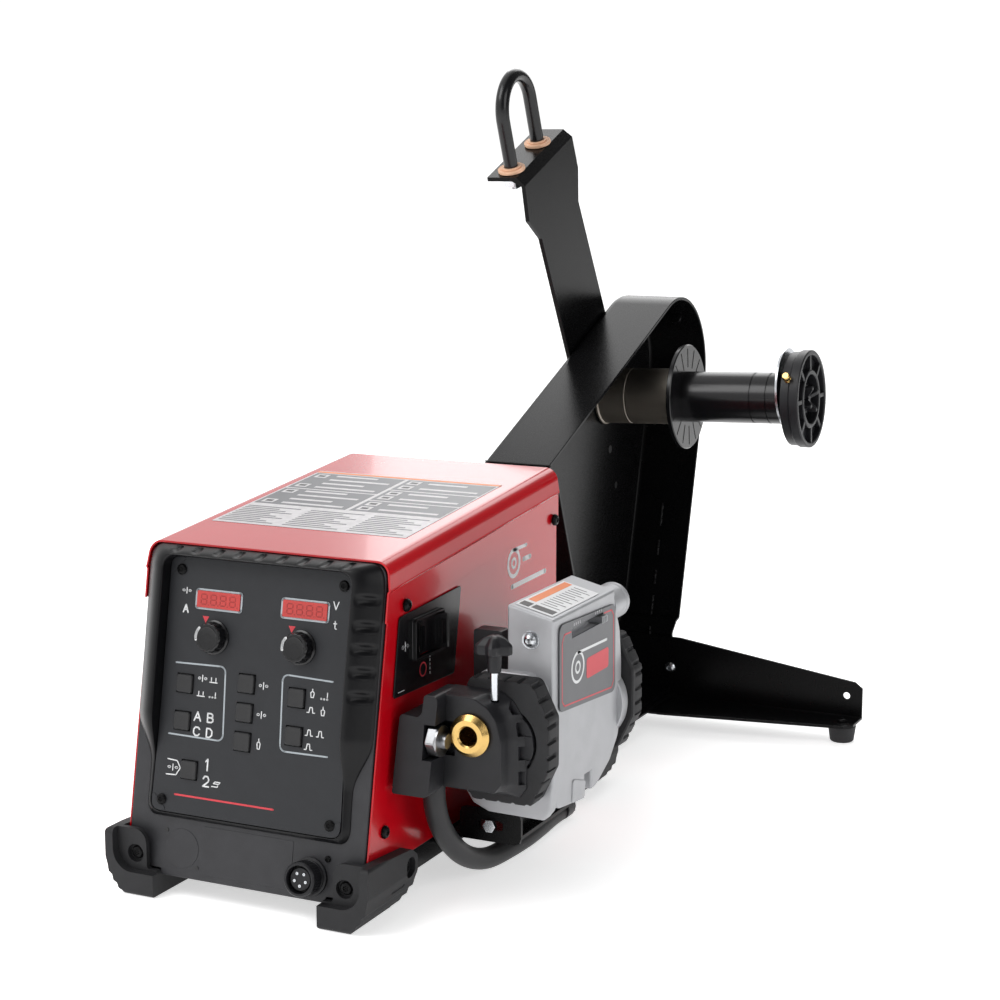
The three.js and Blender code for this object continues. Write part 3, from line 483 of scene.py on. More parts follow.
def finished(node, shape, paint, body="frame", smooth=38):
    """The finished piece that stands for one CAD node."""
    return piece(node + "_finished", shape, paint, body, [node], smooth)


def refined(node, paint, width=0.8, body="frame", extra=Shape([], [])):
    """A CAD node's shape with rounded edges, and extra shapes on it."""
    finished(node, soften(cad(node), width) + extra, paint, body)


# ---------- printed marks ----------
LETTERS = {
    "A": [[(0, 0), (0.5, 1), (1, 0)], [(0.2, 0.36), (0.8, 0.36)]],
    "B": [[(0, 0), (0, 1), (0.6, 1), (0.85, 0.88), (0.85, 0.64), (0.6, 0.53), (0, 0.53)],
          [(0.6, 0.53), (0.95, 0.4), (0.95, 0.14), (0.65, 0), (0, 0)]],
    "C": [[(0.95, 0.78), (0.75, 0.97), (0.3, 0.97), (0.05, 0.7), (0.05, 0.3), (0.3, 0.03), (0.75, 0.03),
           (0.95, 0.22)]],
    "D": [[(0, 0), (0, 1), (0.55, 1), (0.93, 0.72), (0.93, 0.28), (0.55, 0), (0, 0)]],
    "V": [[(0, 1), (0.5, 0), (1, 1)]],
    "t": [[(0.4, 1), (0.4, 0.15), (0.55, 0), (0.75, 0)], [(0.1, 0.68), (0.75, 0.68)]],
    "1": [[(0.1, 0.78), (0.45, 1), (0.45, 0)]],
    "2": [[(0.05, 0.74), (0.25, 0.97), (0.7, 0.97), (0.92, 0.72), (0.85, 0.5), (0.05, 0.03), (0.95, 0.03)]],
    "spool": [circle(0.14, 0.5, 0.14, 12) + [(0.28, 0.5)], [(0.5, 0.05), (0.5, 0.95)],
              circle(0.86, 0.5, 0.14, 12) + [(1.0, 0.5)]],
    "pulse": [[(0, 0), (0.25, 0), (0.35, 0.9), (0.65, 0.9), (0.75, 0), (1, 0)]],
    "steps": [[(0, 0.1), (1, 0.1)], [(0.2, 0.3), (0.2, 0.9)], [(0.8, 0.3), (0.8, 0.9)]],
    "dots": [circle(0.12, 0.12, 0.08, 8), circle(0.5, 0.12, 0.08, 8), circle(0.88, 0.12, 0.08, 8),
             [(0.88, 0.35), (0.88, 0.9)]],
    "bottle": [[(0.3, 0), (0.7, 0), (0.8, 0.55), (0.5, 0.75), (0.2, 0.55), (0.3, 0)],
               [(0.5, 0.75), (0.5, 1)]],
    "torch": [[(0, 0.1), (0.7, 0.1), (0.7, 0.3)],
              [(0.2, 0.5), (0.8, 0.5), (0.95, 0.75), (0.35, 0.75), (0.2, 0.5)]],
}
INK = 0.12  # thickness of a printed mark


def stroke(points, width, low=0.0, high=INK):
    """A flat printed line in the (x, y) plane: one thin bar for each stretch, with round joints."""
    bars = []
    for a, b in zip(points, points[1:]):
        a, b = Vector(a), Vector(b)
        if (b - a).length < 1e-3:
            continue
        side = Vector((a.y - b.y, b.x - a.x)).normalized() * (width / 2)
        bars.append(prism([a - side, b - side, b + side, a + side], low, high))
    bars += [prism(circle(x, y, width / 2, 8), low, high) for x, y in points]
    return together(bars)


def printed_ring(x, y, radius, width):
    """A flat printed circle."""
    out, into = circle(x, y, radius + width / 2, 48), circle(x, y, radius - width / 2, 48)
    rows = ((out, 0), (out, INK), (into, INK), (into, 0))
    return loft([[(u, v, z) for u, v in edge] for edge, z in rows], closed=True)


def letter(name, x, y, width, height, weight=0.9):
    """A stroked sign whose lower left corner is at (x, y)."""
    lines = [[(x + u * width, y + v * height) for u, v in line] for line in LETTERS[name]]
    return together(stroke(line, weight) for line in lines)


# ---------- fasteners ----------
def screw_head(radius, height, matrix):
    """A round head with a socket, standing on the plane z = 0."""
    hole = radius * 0.42
    head = [(0, 0), (radius, 0), (radius, height * 0.45), (radius * 0.8, height * 0.85),
            (radius * 0.5, height), (hole, height), (hole, height * 0.45), (0, height * 0.45)]
    bar = slab(-hole, hole, -0.35, 0.35, height * 0.4, height * 0.8)
    star = together(bar.at(spin(60 * k)) for k in range(3))
    return turned(head, matrix, 28, 0.15) + star.at(matrix)


def hexagon(size, low, high, matrix):
    """A hexagonal head or nut, size across its flats."""
    return soften(prism(circle(0, 0, size / math.sqrt(3), 6), low, high), size * 0.05).at(matrix)


# ---------- control box ----------
def box_shell():
    """The panels of the box, the parts inside and behind it, and its screws."""
    refined("base_pan", BLACK_PAINT, 0.7)
    refined("right_side_panel", RED, 0.45)
    refined("left_side_panel", RED, 0.45)
    louvres = [rod(3.4, -22, 22, move(x, BOX_REAR - 2.6, z) @ Y_UP @ X_UP, 20, 1.5)
               for x in (-75, -15, 60) for z in range(190, 270, 16)]
    refined("rear_panel", RED, 0.4, extra=together(louvres))
    refined("control_board", BOARD, 0.6)
    refined("gas_solenoid", BRASS, 0.8)
    refined("control_connector", STEEL, 0.6)
    refined("gas_fitting", BRASS, 0.6)
    heads = []
    for side in (1, -1):
        turn = spin(90 * side, "Y")
        for y, z, x in ((64, 244, 113), (347, 265, 113), (28, 70, 111)):
            heads.append(screw_head(5.2, 3.6, move(side * x, y, z) @ turn))
    for x in (-98, 98):
        for z in (60, 160, 260):
            heads.append(screw_head(4, 2.6, move(x, BOX_REAR - 2, z) @ spin(-90, "X")))
    piece("case_screws", together(heads), BLACK_PAINT)


def roof_line(x, depth, front):
    """A point of the cover, depth below the roof's plane, at its leaning front edge or upright rear edge."""
    slope = Vector((0, math.cos(TOP_SLOPE), math.sin(TOP_SLOPE)))
    start = FRONT_TOP + Vector((0, math.sin(TOP_SLOPE), -math.cos(TOP_SLOPE))) * depth
    if front:
        lean = math.tan(FRONT_LEAN)
        reach = ((start.z - BOX_BASE) * lean - 1.5 - start.y) / (slope.y - slope.z * lean)
    else:
        reach = (BOX_REAR + 2 - start.y) / slope.y
    return Vector((x, 0, 0)) + start + slope * reach


def top_cover():
    half, sheet, corner, flange = 112.9, 1.6, 12, 46

    def section(inner):
        """Half of the cover's cross-section, from the middle down to the flange's edge: (x, depth)."""
        s = sheet if inner else 0
        top = [(x - 1.4, corner - y) for x, y in arc(half - corner, 0, corner - s, 90, 4, 8)]
        side = [(half - s, 20.5), (half + 0.4 - s, 21.6), (half - 0.9 - s, 23.4), (half - 0.9 - s, flange)]
        return top + side

    outer, inner = section(False), section(True)
    whole = [(-x, d) for x, d in reversed(outer)] + outer + inner[::-1] + [(-x, d) for x, d in inner]
    loops = [[roof_line(x, d, front) for x, d in whole] for front in (True, False)]
    finished("top_cover", soften(loft(loops), 0.3, 2, 50), RED, smooth=26)


def roof_label():
    """A plain printed label on the roof: an orange rule, grey fields with pale bars, and a pale strip."""
    left, right, front, rear = -94, 90, 63.5, 244.5

    def flat(x0, x1, y0, y1, height):
        return slab(x0, x1, y0, y1, 0, height).at(ROOF @ move(0, 0, 0.1))

    piece("roof_label_sheet", flat(left, right, front, rear, 0.15), PALE_LABEL)
    fields, bars, boxes = [], [], []
    columns = [(left + 2, -2, y0, y1) for y0, y1 in ((183, 236), (127, 180))]
    columns += [(2, right - 2, y0, y1) for y0, y1 in ((201, 236), (164, 198), (127, 161))]
    for x0, x1, y0, y1 in columns:
        fields.append(flat(x0, x1, y0, y1, 0.25))
        count = 4 if y1 - y0 > 40 else 2
        for k in range(count):
            y = y0 + (y1 - y0) / count * (k + 0.5)
            bars.append(flat(x0 + 24, x1 - 6 - 18 * (k % 2), y - 2.2, y + 2.2, 0.35))
        for y in (y0 + 4, y1 - 15):
            bars.append(flat(x0 + 4, x0 + 16, y, y + 11, 0.35))
            boxes.append(flat(x0 + 6.5, x0 + 13.5, y + 3, y + 8, 0.42))
    piece("roof_label_fields", together(fields), LABEL_GREY)
    piece("roof_label_bars", together(bars), PALE_LABEL)
    piece("roof_label_boxes", together(boxes), BLACK_INK_AND_HOLE_SHADE)
    piece("roof_label_rule", flat(left, right, 238.5, rear - 2, 0.3), ORANGE_INK)
    text = [flat(x + 3, x + 55 - 9 * (row % 3), 69 + row * 5.2, 70.9 + row * 5.2, 0.28)
            for x in (left, -32, 29) for row in range(10)]
    piece("roof_label_lines", together(text), LABEL_GREY)


def corner_feet():
    """Moulded corner feet: a lobe with a screw well in front, a sole, and a wall along the side."""
    lobe = [(76, 0), (104.5, 0), (106, 3), (109.5, 4.5), (111, 8.5), (114.5, 10.5), (115.5, 15),
            (118.8, 17.5), (119.6, 23), (121.5, 30), (121.5, 54), (86.5, 54), (86.5, 21.4), (76, 21.4)]
    lobe = rounded(lobe, [2] + [1] * 8 + [8, 3, 11, 3, 2])
    side = [(-17.5, 0), (48, 0), (57, 6), (61, 18), (64.5, 27), (64.5, 42), (55, 49), (-2, 54), (-17.5, 54)]
    side = rounded(side, [4, 4, 4, 4, 5, 6, 4, 6, 5])
    body = combine("INTERSECT", prism_y(lobe, -17.5, 80), prism_x(side, 70, 125))
    face = [(70, 19.5)] + arc(96.5, 37, 17.5, -90, 0, 10) + [(114, 70), (70, 70)]
    oval = [(y + 53, z + 34.5) for y, z in rounded(rectangle(-7, 7, -8.5, 8.5), 6.8, 8)]
    well = move(97, -10, 33.5) @ spin(90, "X")
    body = cut(body, slab(60, BOX_HALF + 0.35, -5.5, 90, 20, 60), prism_y(face, -25, -10),
               prism_x(oval, 116.5, 125), slab(119, 125, 24.5, 45, 21.4, 23.4))
    body = cut(body, rod(7.6, -4, 8, well, 40))
    shape = soften(body, 1.0)
    screws = screw_head(5.4, 2.6, move(0, 3.9, 0) @ well)
    screws += screw_head(4.6, 2, move(116.4, 53, 34.5) @ spin(90, "Y"))
    for end, out, y, facing in (("front", 0, 0, 1), ("rear", 21, 416, -1)):
        for word, sign in (("right", 1), ("left", -1)):
            node = f"foot_{end}_{word}"
            place = move(sign * out, y, 0) @ Matrix.Diagonal((sign, facing, 1, 1))
            finished(node, shape.at(place), RUBBER)
            piece(node + "_screws", screws.at(place), BLACK_PAINT)


# ---------- front panel, drawn in the panel's own plane ----------
def mirrored(points):
    """A closed outline from its right-hand points, given from the bottom up."""
    return list(points) + [(-x, y) for x, y in reversed(points)]


def ease(value):
    """A smooth step from 0 to 1 as the value goes from 0 to 1."""
    value = min(1, max(0, value))
    return value * value * (3 - 2 * value)


def resample(points, step):
    """Points evenly spaced along a closed outline."""
    made = []
    for a, b in zip(points, points[1:] + points[:1]):
        a, b = Vector(a), Vector(b)
        count = max(1, round((b - a).length / step))
        made += [tuple(a.lerp(b, k / count)) for k in range(count)]
    return made


# Sizes of the hood: the first value is at its bottom, the second is higher up.
RIM_HALF = (88.5, 86.4)  # half the width of its opening
HOOD_HALF = (94.5, 108.2)  # half its outer width
HOOD_CREST = (4.6, 16)  # how far it stands out from the plate
TOP_POCKETS = (-78, -59, -38.4, -19.7, 0.5, 20.3, 40, 60.3, 80.3)
SIDE_POCKETS = (232.7, 215, 194.5, 177, 159, 140.3)  # on the right only


def between(pair, share):
    """From a pair's first value to its second, smoothly, as share goes from 0 to 1."""
    return pair[0] + (pair[1] - pair[0]) * ease(share)


def pocket_at(x, u, v):
    """How deep a pocket is at x, from 0 to 1, on the slope that starts from the rim's point (u, v)."""
    if v > 228:
        return max(math.exp(-((x - middle) / 3) ** 4) for middle in TOP_POCKETS)
    if v > 130 and u > 0:
        return max(math.exp(-((v - middle) / 3.4) ** 4) for middle in SIDE_POCKETS)
    return 0


def bezel_hood():
    """The hooded ring round the panel: it rises from its rim and slopes outwards, with moulded pockets."""
    inner = resample(rounded(mirrored([(88.5, 28), (86.4, 100), (86.4, 235)]), [9, 0, 10, 10, 0, 9], 10), 1.2)
    rows = [(0, 0), (0, 0.9), (0.03, 0.97), (0.09, 1), (0.2, 0.97), (0.32, 0.9), (0.44, 0.8), (0.56, 0.67),
            (0.68, 0.52), (0.8, 0.36), (0.92, 0.2), (0.985, 0.1), (1, 0)]
    loops = []
    for share, rise in rows:
        loop = []
        for u, v in inner:
            x = u * (1 + (between(HOOD_HALF, (v - 66) / 42) / between(RIM_HALF, (v - 50) / 50) - 1) * share)
            y = v + share * (8.4 * ease((v - 224) / 11) - 4 * ease((40 - v) / 12))
            crest = between(HOOD_CREST, (v - 66) / 42)
            depth = 4 * pocket_at(x, u, v) * ease((share - 0.25) / 0.15) * ease((0.88 - share) / 0.12)
            loop.append((x, y, 1 + crest * rise - depth if rise else 0.5))
        loops.append(loop)
    piece("bezel_hood", loft(loops, closed=True).at(PANEL), HOOD_PLASTIC, smooth=60)


def front_bezel():
    """The moulded plate behind the hood, with a round and a square cover on it, and the panel's screws."""
    plate = mirrored([(77, -23.3), (77, -18.5), (108.6, -18.5), (108.6, 243.4)])
    shape = soften(prism(rounded(plate, [2, 1, 3, 12, 12, 3, 1, 2], 8), -6, 1), 0.9)
    shape += soften(prism(circle(-58.5, 0, 16, 48), 0.6, 1.35), 0.25)
    shape += soften(prism(rounded(rectangle(-39, 44.5, -18.2, 20.7), 1.2), 0.6, 1.3), 0.25)
    finished("front_bezel", shape.at(PANEL), BEZEL_PLASTIC, smooth=45)
    # Painted shade: flat black discs stand where the plate's two holes are; no holes are cut.
    hole_shade_discs = together(prism(circle(x, y, 1.7, 16), 0.9, 1.5) for x, y in ((-73.7, 13.3), (-43, -13.7)))
    piece("blank_cover_hole_shade", hole_shade_discs.at(PANEL), BLACK_INK_AND_HOLE_SHADE)
    heads = together(screw_head(4.4, 2.2, PANEL @ move(x, y, FACE))
                     for x, y in ((-75, 224), (75, 224), (-78, 38), (78, 38)))
    heads += screw_head(2.6, 1.6, PANEL @ move(76.3, 11.3, 1.2))
    piece("panel_screws", heads, BLACK_PAINT)


def faceplate():
    """The control panel's plate, with a raised three-cornered boss under each corner screw."""
    corner = 15
    bosses = []
    for y, reach, inward in ((234, 85.3, -corner), (29.2, 87.3, corner)):
        for x in (-1, 1):
            points = [(x * reach, y), (x * (reach - corner), y), (x * reach, y + inward)]
            boss = prism(rounded(points, [7, 1.5, 1.5]), FACE - 0.5, FACE + 0.5)
            bosses.append(soften(boss, 0.25).at(PANEL))
    refined("faceplate", FILM, 0.35, extra=together(bosses))


def panel_marks():
    """Printed lines, generic signs and unit letters on the faceplate."""
    at = PANEL @ move(0, 0, FACE)
    signs = (("A", -71, 190, 4.5, 6), ("spool", -73, 205, 8, 5), ("V", 66.5, 205, 4.6, 6),
             ("t", 67.5, 190, 4, 6), ("spool", -52, 136, 8, 5.5), ("steps", -41, 136, 7, 4.5),
             ("steps", -52, 124, 7, 4.5), ("dots", -41, 124, 7, 5), ("A", -53, 104.5, 6, 7),
             ("B", -40.5, 104.5, 5.4, 7), ("C", -53, 92.5, 6, 7), ("D", -40.5, 92.5, 5.4, 7),
             ("spool", 5, 136, 8, 6), ("spool", 5, 113, 8, 6), ("bottle", 6, 89, 5, 8),
             ("bottle", 51, 135, 5.4, 6.5), ("dots", 61, 134, 7, 6.5), ("pulse", 50, 123, 7, 4.5),
             ("bottle", 61.5, 122, 5.4, 6.5), ("pulse", 50, 105, 6.5, 5), ("pulse", 60, 105, 6.5, 5),
             ("pulse", 50, 94, 7, 5), ("1", -39.5, 66, 5, 9), ("2", -40.5, 53, 6, 8.5),
             ("torch", -32, 53.5, 8, 6), ("spool", -74.5, 62, 9.5, 5.5))
    white = [letter(name, *rest, 1.25 if name in "ABCD12" else 0.8) for name, *rest in signs]
    white.append(stroke([(-75, 71), (-66, 70.4), (-62.6, 65), (-66.4, 59), (-75.6, 58.6)], 0.9))
    piece("panel_marks_white", together(white).at(at), WHITE_INK)
    left = [(-74, 149)] + arc(-32, 145, 5, 90, 0, 5) + arc(-30, 96, 5, 0, -90, 5) + [(-76, 91.4)]
    right = [(71, 149)] + arc(31, 145, 5, 90, 180, 5) + arc(33, 95, 5, 180, 270, 5) + [(71, 90.5)]
    grey = [stroke(left, 1.3), stroke(right, 1.3)]
    for middle in DISPLAYS.values():
        rim = rounded(rectangle(-21.2, 21.2, -7.6, 7.6), 1.8, 4)
        rim = [(x + middle, y + 202) for x, y in rim]
        grey.append(stroke(rim + rim[:1], 1.5, 0, 0.5))
    piece("panel_marks_grey", together(grey).at(at), GREY_INK)
    red = [stroke([(-66, 43.4), (26, 43.4)], 1.5)]
    for x in (-KNOB_X - 9, KNOB_X - 9):
        red.append(prism([(x - 3.2, 188.5), (x - 0.2, 183), (x + 3, 188.5)], 0, 0.2))
    piece("panel_marks_red", together(red).at(at), RED_INK)


def displays():
    """Two windows, each with the segments of four digits and the points after them."""
    for word, middle in DISPLAYS.items():
        at = PANEL @ move(middle, 202, FACE)
        lens = soften(prism(rounded(rectangle(-20.2, 20.2, -6.7, 6.7), 1), 0.3, 1.3), 0.3)
        finished(f"display_{word}", lens.at(at), LENS)
        bars = []
        for k in range(4):
            cx = -13.4 + 8.9 * k
            for y in (-4, 0, 4):
                bars.append(slab(cx - 2, cx + 2, y - 0.45, y + 0.45, 1.28, 1.38))
            for x in (-2.6, 2.6):
                for y in (-2, 2):
                    bars.append(slab(cx + x - 0.45, cx + x + 0.45, y - 1.5, y + 1.5, 1.28, 1.38))
            bars.append(prism(circle(cx + 4.4, -4.4, 0.55, 8), 1.28, 1.38))
        piece(f"display_{word}_digits", together(bars).at(at), SEGMENT)


def knobs():
    """Knobs with twelve shallow flutes, on a skirt, with a pointer line round part of the top."""
    shape = turned([(0, 0), (13.9, 0), (13.9, 1.1), (12.4, 1.9), (0, 1.9)], sides=72, radius=0.3)
    shape += lobed(((1.8, 1.02), (2.6, 1), (8.6, 0.97), (9.7, 0.93), (10.4, 0.85)),
                   lambda a: 12.3 - 0.6 * abs(math.sin(6 * a)) ** 6, 144)
    shape += turned([(0, 10.2), (9, 10.2), (8.6, 10.8), (7.6, 10.6), (0, 10.2)], sides=48)
    line = stroke(arc(0, 0, 10.6, 138, 192, 10), 2.2, 10, 10.5)
    for node, x in (("knob_left", -KNOB_X), ("knob_right", KNOB_X)):
        at = PANEL @ move(x, 172.5, FACE + 0.35)
        finished(node, shape.at(at), GLOSS_PLASTIC, node)
        piece(node + "_pointer", line.at(at), WHITE_INK, node)


KEYS = {"button_hot_wire": (-64, 133), "button_cold_feed": (-64, 103), "button_trigger_mode": (-6.5, 139),
        "button_gas_purge": (-6.5, 116), "button_test_mode": (-6.5, 93), "button_preflow": (40, 133),
        "button_postflow": (40, 103), "button_procedure": (-54, 64.5)}


def keys():
    """Square keys with a dished top."""
    outline = rounded(rectangle(-7.5, 7.5, -7.5, 7.5), 2.2, 5)
    rows = [(1, -2.5), (1, 0.6), (0.97, 1.6), (0.9, 2.15), (0.82, 2.2), (0.5, 1.9)]
    shape = loft([[(x * s, y * s, FACE + z) for x, y in outline] for s, z in rows])
    for node, (x, y) in KEYS.items():
        finished(node, shape.at(PANEL @ move(x, y, 0)), KEY_PLASTIC, node)


def trigger_connector():
    """A ribbed round socket with five pins."""
    at = PANEL @ move(61.7, -4.6, 0)
    shell = [(0, 1.4), (15.4, 1.4), (15.4, 3.4), (13.6, 4), (13.6, 5.4), (13.1, 5.8), (13.1, 6.6), (13.6, 7),
             (13.6, 18.2), (12.6, 19.4), (11.2, 19.4), (10.9, 18.8), (10.9, 11), (0, 11)]
    shape = turned(shell, sides=72, radius=0.15) + around(slab(13.3, 13.9, -0.35, 0.35, 7.6, 16), 36)
    shape += turned([(0, 10.8), (9, 10.8), (9, 16), (8.6, 16.4), (0, 16.4)], sides=48)
    finished("trigger_connector", shape.at(at), BLACK_PLASTIC)
    pins = [turned([(0, 16.1), (1.2, 16.1), (1.2, 16.9), (0.5, 16.9), (0.5, 16.5), (0, 16.5)],
                   move(5.2 * math.cos(a), 5.2 * math.sin(a), 0), 16)
            for a in (math.radians(90 + 36 + 72 * k) for k in range(5))]
    piece("trigger_connector_pins", together(pins).at(at), ZINC)


# ---------- right side switch ----------
ROCKER = Vector((BOX_HALF, 100, 213))


def switch():
    """The rocker, whose face is a shallow curve, its plate and the printed signs round it."""
    refined("switch_plate", GLOSS_PLASTIC, 0.5)
    side = [(-4, -19), (2, -21.4), (8.6, -21.4)] + arc(48, 0, 46, 207, 153, 8)
    side += [(8.6, 21.4), (2, 21.4), (-4, 19)]
    side = [(x if abs(y) > 21 else min(x, 9.6), y) for x, y in side]
    shape = soften(prism(side, -14, 14), 0.6)
    shape += together(slab(6.4, 8.2, y - 0.4, y + 0.4, -10, 10) for y in (13, 15, 17, -13, -15, -17))
    at = Matrix.Translation(ROCKER) @ spin(-7)
    finished("power_rocker", shape.at(at), GLOSS_PLASTIC, "power_rocker")
    on_plate = move(BOX_HALF + 1.75, 0, 0) @ X_UP
    piece("switch_ring_mark", printed_ring(92, 186, 5.4, 1.2).at(on_plate), RED_INK)
    dots = [stroke([(104, z), (104, z + 1.2)], 1.1) for z in (180, 183.5, 187, 190.5, 194)]
    dots += [letter("spool", 57, 207, 11, 8, 0.9), stroke([(50, 176.6), (60, 176.4)], 0.6)]
    piece("switch_marks", together(dots).at(on_plate), WHITE_INK)


def side_mark():
    """A plain sign in place of a name: a spool with its wire, and two rules."""
    at = move(BOX_HALF + 0.05, 0, 0) @ X_UP
    shapes = [printed_ring(266, 240, 11.5, 3.6), printed_ring(266, 240, 4, 2.6),
              stroke([(266, 251.6), (292, 251.9)], 3.2), stroke([(286, 240), (300, 240.2)], 4.4),
              stroke([(262, 219.5), (332, 221)], 4.4)]
    piece("side_mark", together(shapes).at(at), WHITE_INK)


# ---------- wire drive ----------
GEARBOX_BOSS = along_y(202.5, 215.5)
SELECTOR_SLOT = slab(210, 225, 146, 210, 210.5, 218.5)  # the tool that cuts the gear selector's slot


def gearbox():
    """The cast housing, its front flange, rear disc and boss."""
    side = [(113, 86), (128, 74), (162, 70), (202, 72), (232, 86), (250, 104), (256, 128), (256, 168),
            (251.5, 196), (239.5, 223), (239.5, 246), (113, 246)]
    outline = rounded(side, [4, 8, 16, 16, 18, 14, 16, 16, 12, 8, 1, 1], 6)
    lean = [(177, 60), (217, 60), (217, 231.5), (177, 241)]
    body = combine("INTERSECT", prism_x(outline, 177, 217), prism_y(lean, 90, 290))
    body = cut(body, slab(172, 182.4, 118, 251, 111, 191), SELECTOR_SLOT,
               slab(209, 222, 178, 192, 60, 88))
    shape = soften(body, 2.0, 3)
    face = [(150, 77), (164, 71), (213, 70), (219, 78), (222, 112), (221, 150), (212, 180), (199, 188),
            (160, 188), (146, 172), (141, 150), (141, 92)]
    face = rounded(face, [6, 8, 5, 6, 20, 20, 8, 6, 10, 10, 14, 8], 6)
    rows = ((105.2, 3), (105.2, 1.4), (105.8, 0.4), (106.8, 0), (114, 0), (114.8, 0.8))
    flange = loft([[(x, y, z) for x, z in offset(face, inset)] for y, inset in rows])
    bore = rod(35.8, 100, 112.6, along_y(DRIVE.x, DRIVE.z))
    shape += cut(flange, slab(100, 176.6, 113.1, 120, 60, 250), bore)
    disc = [(0, 246), (37.6, 246), (38.5, 246.8), (38.5, 257), (37.7, 257.8), (0, 257.8)]
    disc = turned(disc, along_y(184, 131), 96)
    shape += cut(disc, slab(100, 177, 240, 270, 60, 250))
    boss = [(0, 239.6), (15.5, 239.6), (15.5, 263), (14.8, 263.5), (14.8, 265), (15.5, 265.6), (15.5, 270),
            (14, 271.9), (0, 271.9)]
    shape += turned(boss, GEARBOX_BOSS, 72, 0.4)
    shape += soften(prism_x(rounded([(150, 72), (176, 69), (178, 84), (152, 92)], 3), 180, 218.2), 1.2)
    finished("gearbox_housing", shape, CAST)


def gearbox_fittings():
    """The gearbox's bolts, and the feed plate and motor on its left."""
    at = move(197.5, 113, 214) @ spin(90, "X")
    bolt = turned([(0, 0), (5.5, 0), (5.4, 1.8), (4.4, 3.8), (2.4, 4.9), (0, 5.1)], at, 40, 0.3)
    bolt += turned([(5.6, -1), (7.5, -1), (7.5, 0.9), (5.6, 0.9)], at, 40, 0.3)
    bolt += screw_head(4.6, 3, GEARBOX_BOSS @ move(0, 0, 271.8))
    piece("gearbox_bolts", bolt, ZINC)
    refined("feed_plate", CAST, 0.8)
    refined("drive_motor", BLACK_PAINT, 1.0)


def gearbox_label():
    piece("gearbox_label_sheet", slab(4, 37, 120, 214, 0.3, 0.55).at(GEARBOX_TOP), WHITE_INK)
    piece("gearbox_label_rule", slab(6, 13, 140, 212, 0.5, 0.7).at(GEARBOX_TOP), ORANGE_INK)
    black = slab(16, 35, 124, 134, 0.5, 0.7) + slab(5.5, 14, 123, 134, 0.5, 0.7)
    black += together(slab(17, 34 - 5 * (k % 2), 140 + 6 * k, 141.2 + 6 * k, 0.5, 0.65) for k in range(12))
    piece("gearbox_label_blocks", black.at(GEARBOX_TOP), BLACK_INK_AND_HOLE_SHADE)


def badge():
    """The plate on the gearbox with a plain sign in place of a name, and the gear selector's lever."""
    plate = rounded([(122.4, 154.7), (238.2, 145), (237.1, 220.7), (121.6, 225.8)], 7, 6)
    shape = cut(prism_x(plate, 217.35, 218.65), SELECTOR_SLOT)
    finished("badge_plate", soften(shape, 0.4), BADGE)
    at = move(218.62, 0, 0) @ X_UP
    border = [(212, 217.4), (228, 216.8), (232.6, 212), (234, 156), (229.5, 150.2), (131.5, 158.2),
              (127, 163), (126.6, 211), (131, 216.6), (144, 216.2)]
    piece("badge_border", stroke(border, 1.2).at(at), RED_INK)
    marks = [printed_ring(158, 184, 12, 2.4), printed_ring(158, 184, 4.4, 2),
             stroke([(158, 196), (218, 194)], 2.2)]
    marks += [stroke([(y, 219.8), (y, 222)], 0.6) for y in (150, 154, 158, 162, 194, 198, 202, 206)]
    piece("badge_marks", together(marks).at(at), WHITE_INK)
    piece("badge_sign", prism(rounded(rectangle(176, 222, 170, 187), 3), 0, 0.15).at(at), RED_INK)
    lever = soften(slab(211, 223.4, 198, 209, 211.6, 217.4), 0.8)
    lever += together(slab(223, 224, y, y + 1.2, 212.4, 216.6) for y in (199.5, 202.6, 205.7))
    finished("gear_selector", lever, STEEL, "gear_selector")


def front_housing():
    """The moulded nose: a leaning cable block, a flared body and the shoulder inside the bumper."""
    plan = [(116, 101), (147.5, 101), (151, 179.5), (139, 179.5), (138, 165.5), (135, 162), (119, 163)]
    plan = rounded(plan, [2, 4, 5, 2, 3, 3, 3])
    lean = [(31, 95), (44, 182), (82, 182), (82, 95)]
    block = combine("INTERSECT", prism_y(plan, 25, 82), prism_x(rounded(lean, [5, 5, 0, 0]), 100, 160))
    nose = [(141, 103), (192, 103), (197.5, 110), (197.5, 145), (193.5, 161), (186, 171), (174, 177.5),
            (141, 178.5)]
    root = [(146, 95), (203, 95), (209, 103), (209.5, 142), (206, 160), (198, 172), (188, 179), (146, 180)]
    radii = [1, 4, 4, 22, 16, 14, 12, 1]
    small, large = rounded(nose, radii), rounded(root, radii)
    rows = ((58, 0, 1.6), (58.4, 0, 0.5), (59.4, 0, 0), (67, 0.1, 0), (72, 0.26, 0), (76.5, 0.55, 0),
            (79.6, 0.84, 0), (81, 0.97, 0), (82.2, 1, 0))
    loops = []
    for y, share, inset in rows:
        blend = [(a + (c - a) * share, b + (d - b) * share) for (a, b), (c, d) in zip(small, large)]
        loops.append([(x, y, z) for x, z in offset(blend, inset)] if inset else [(x, y, z) for x, z in blend])
    shoulder = turned([(0, 80), (28, 80), (28, 86), (35.4, 86), (35.4, 104.5), (0, 104.5)],
                      along_y(DRIVE.x, DRIVE.z), 72)
    body = combine("UNION", block, loft(loops), shoulder)
    bore = rod(15.6, 40, 120, along_y(WIRE.x, WIRE.z), 48)
    pockets = [slab(x - 1.5, x + 12, 76.4, 80.9, z - 5.5, z + 5.5)
               for x, z in ((197, 168), (203.5, 151), (205.5, 132), (205.5, 112))]
    entry = Vector(CABLE_ROUTE[0])
    cable = rod(9.5, 80, 106.4, move(entry.x, entry.y, 0), 32)
    stud = rod(3.7, 172, 200, CLAMP_AXIS, 24)
    body = cut(body, bore, slab(140.5, 158, 25, 65, 129.4, 157), cable, stud, *pockets)
    finished("front_housing", soften(body, 0.8), BLACK_PLASTIC, smooth=32)


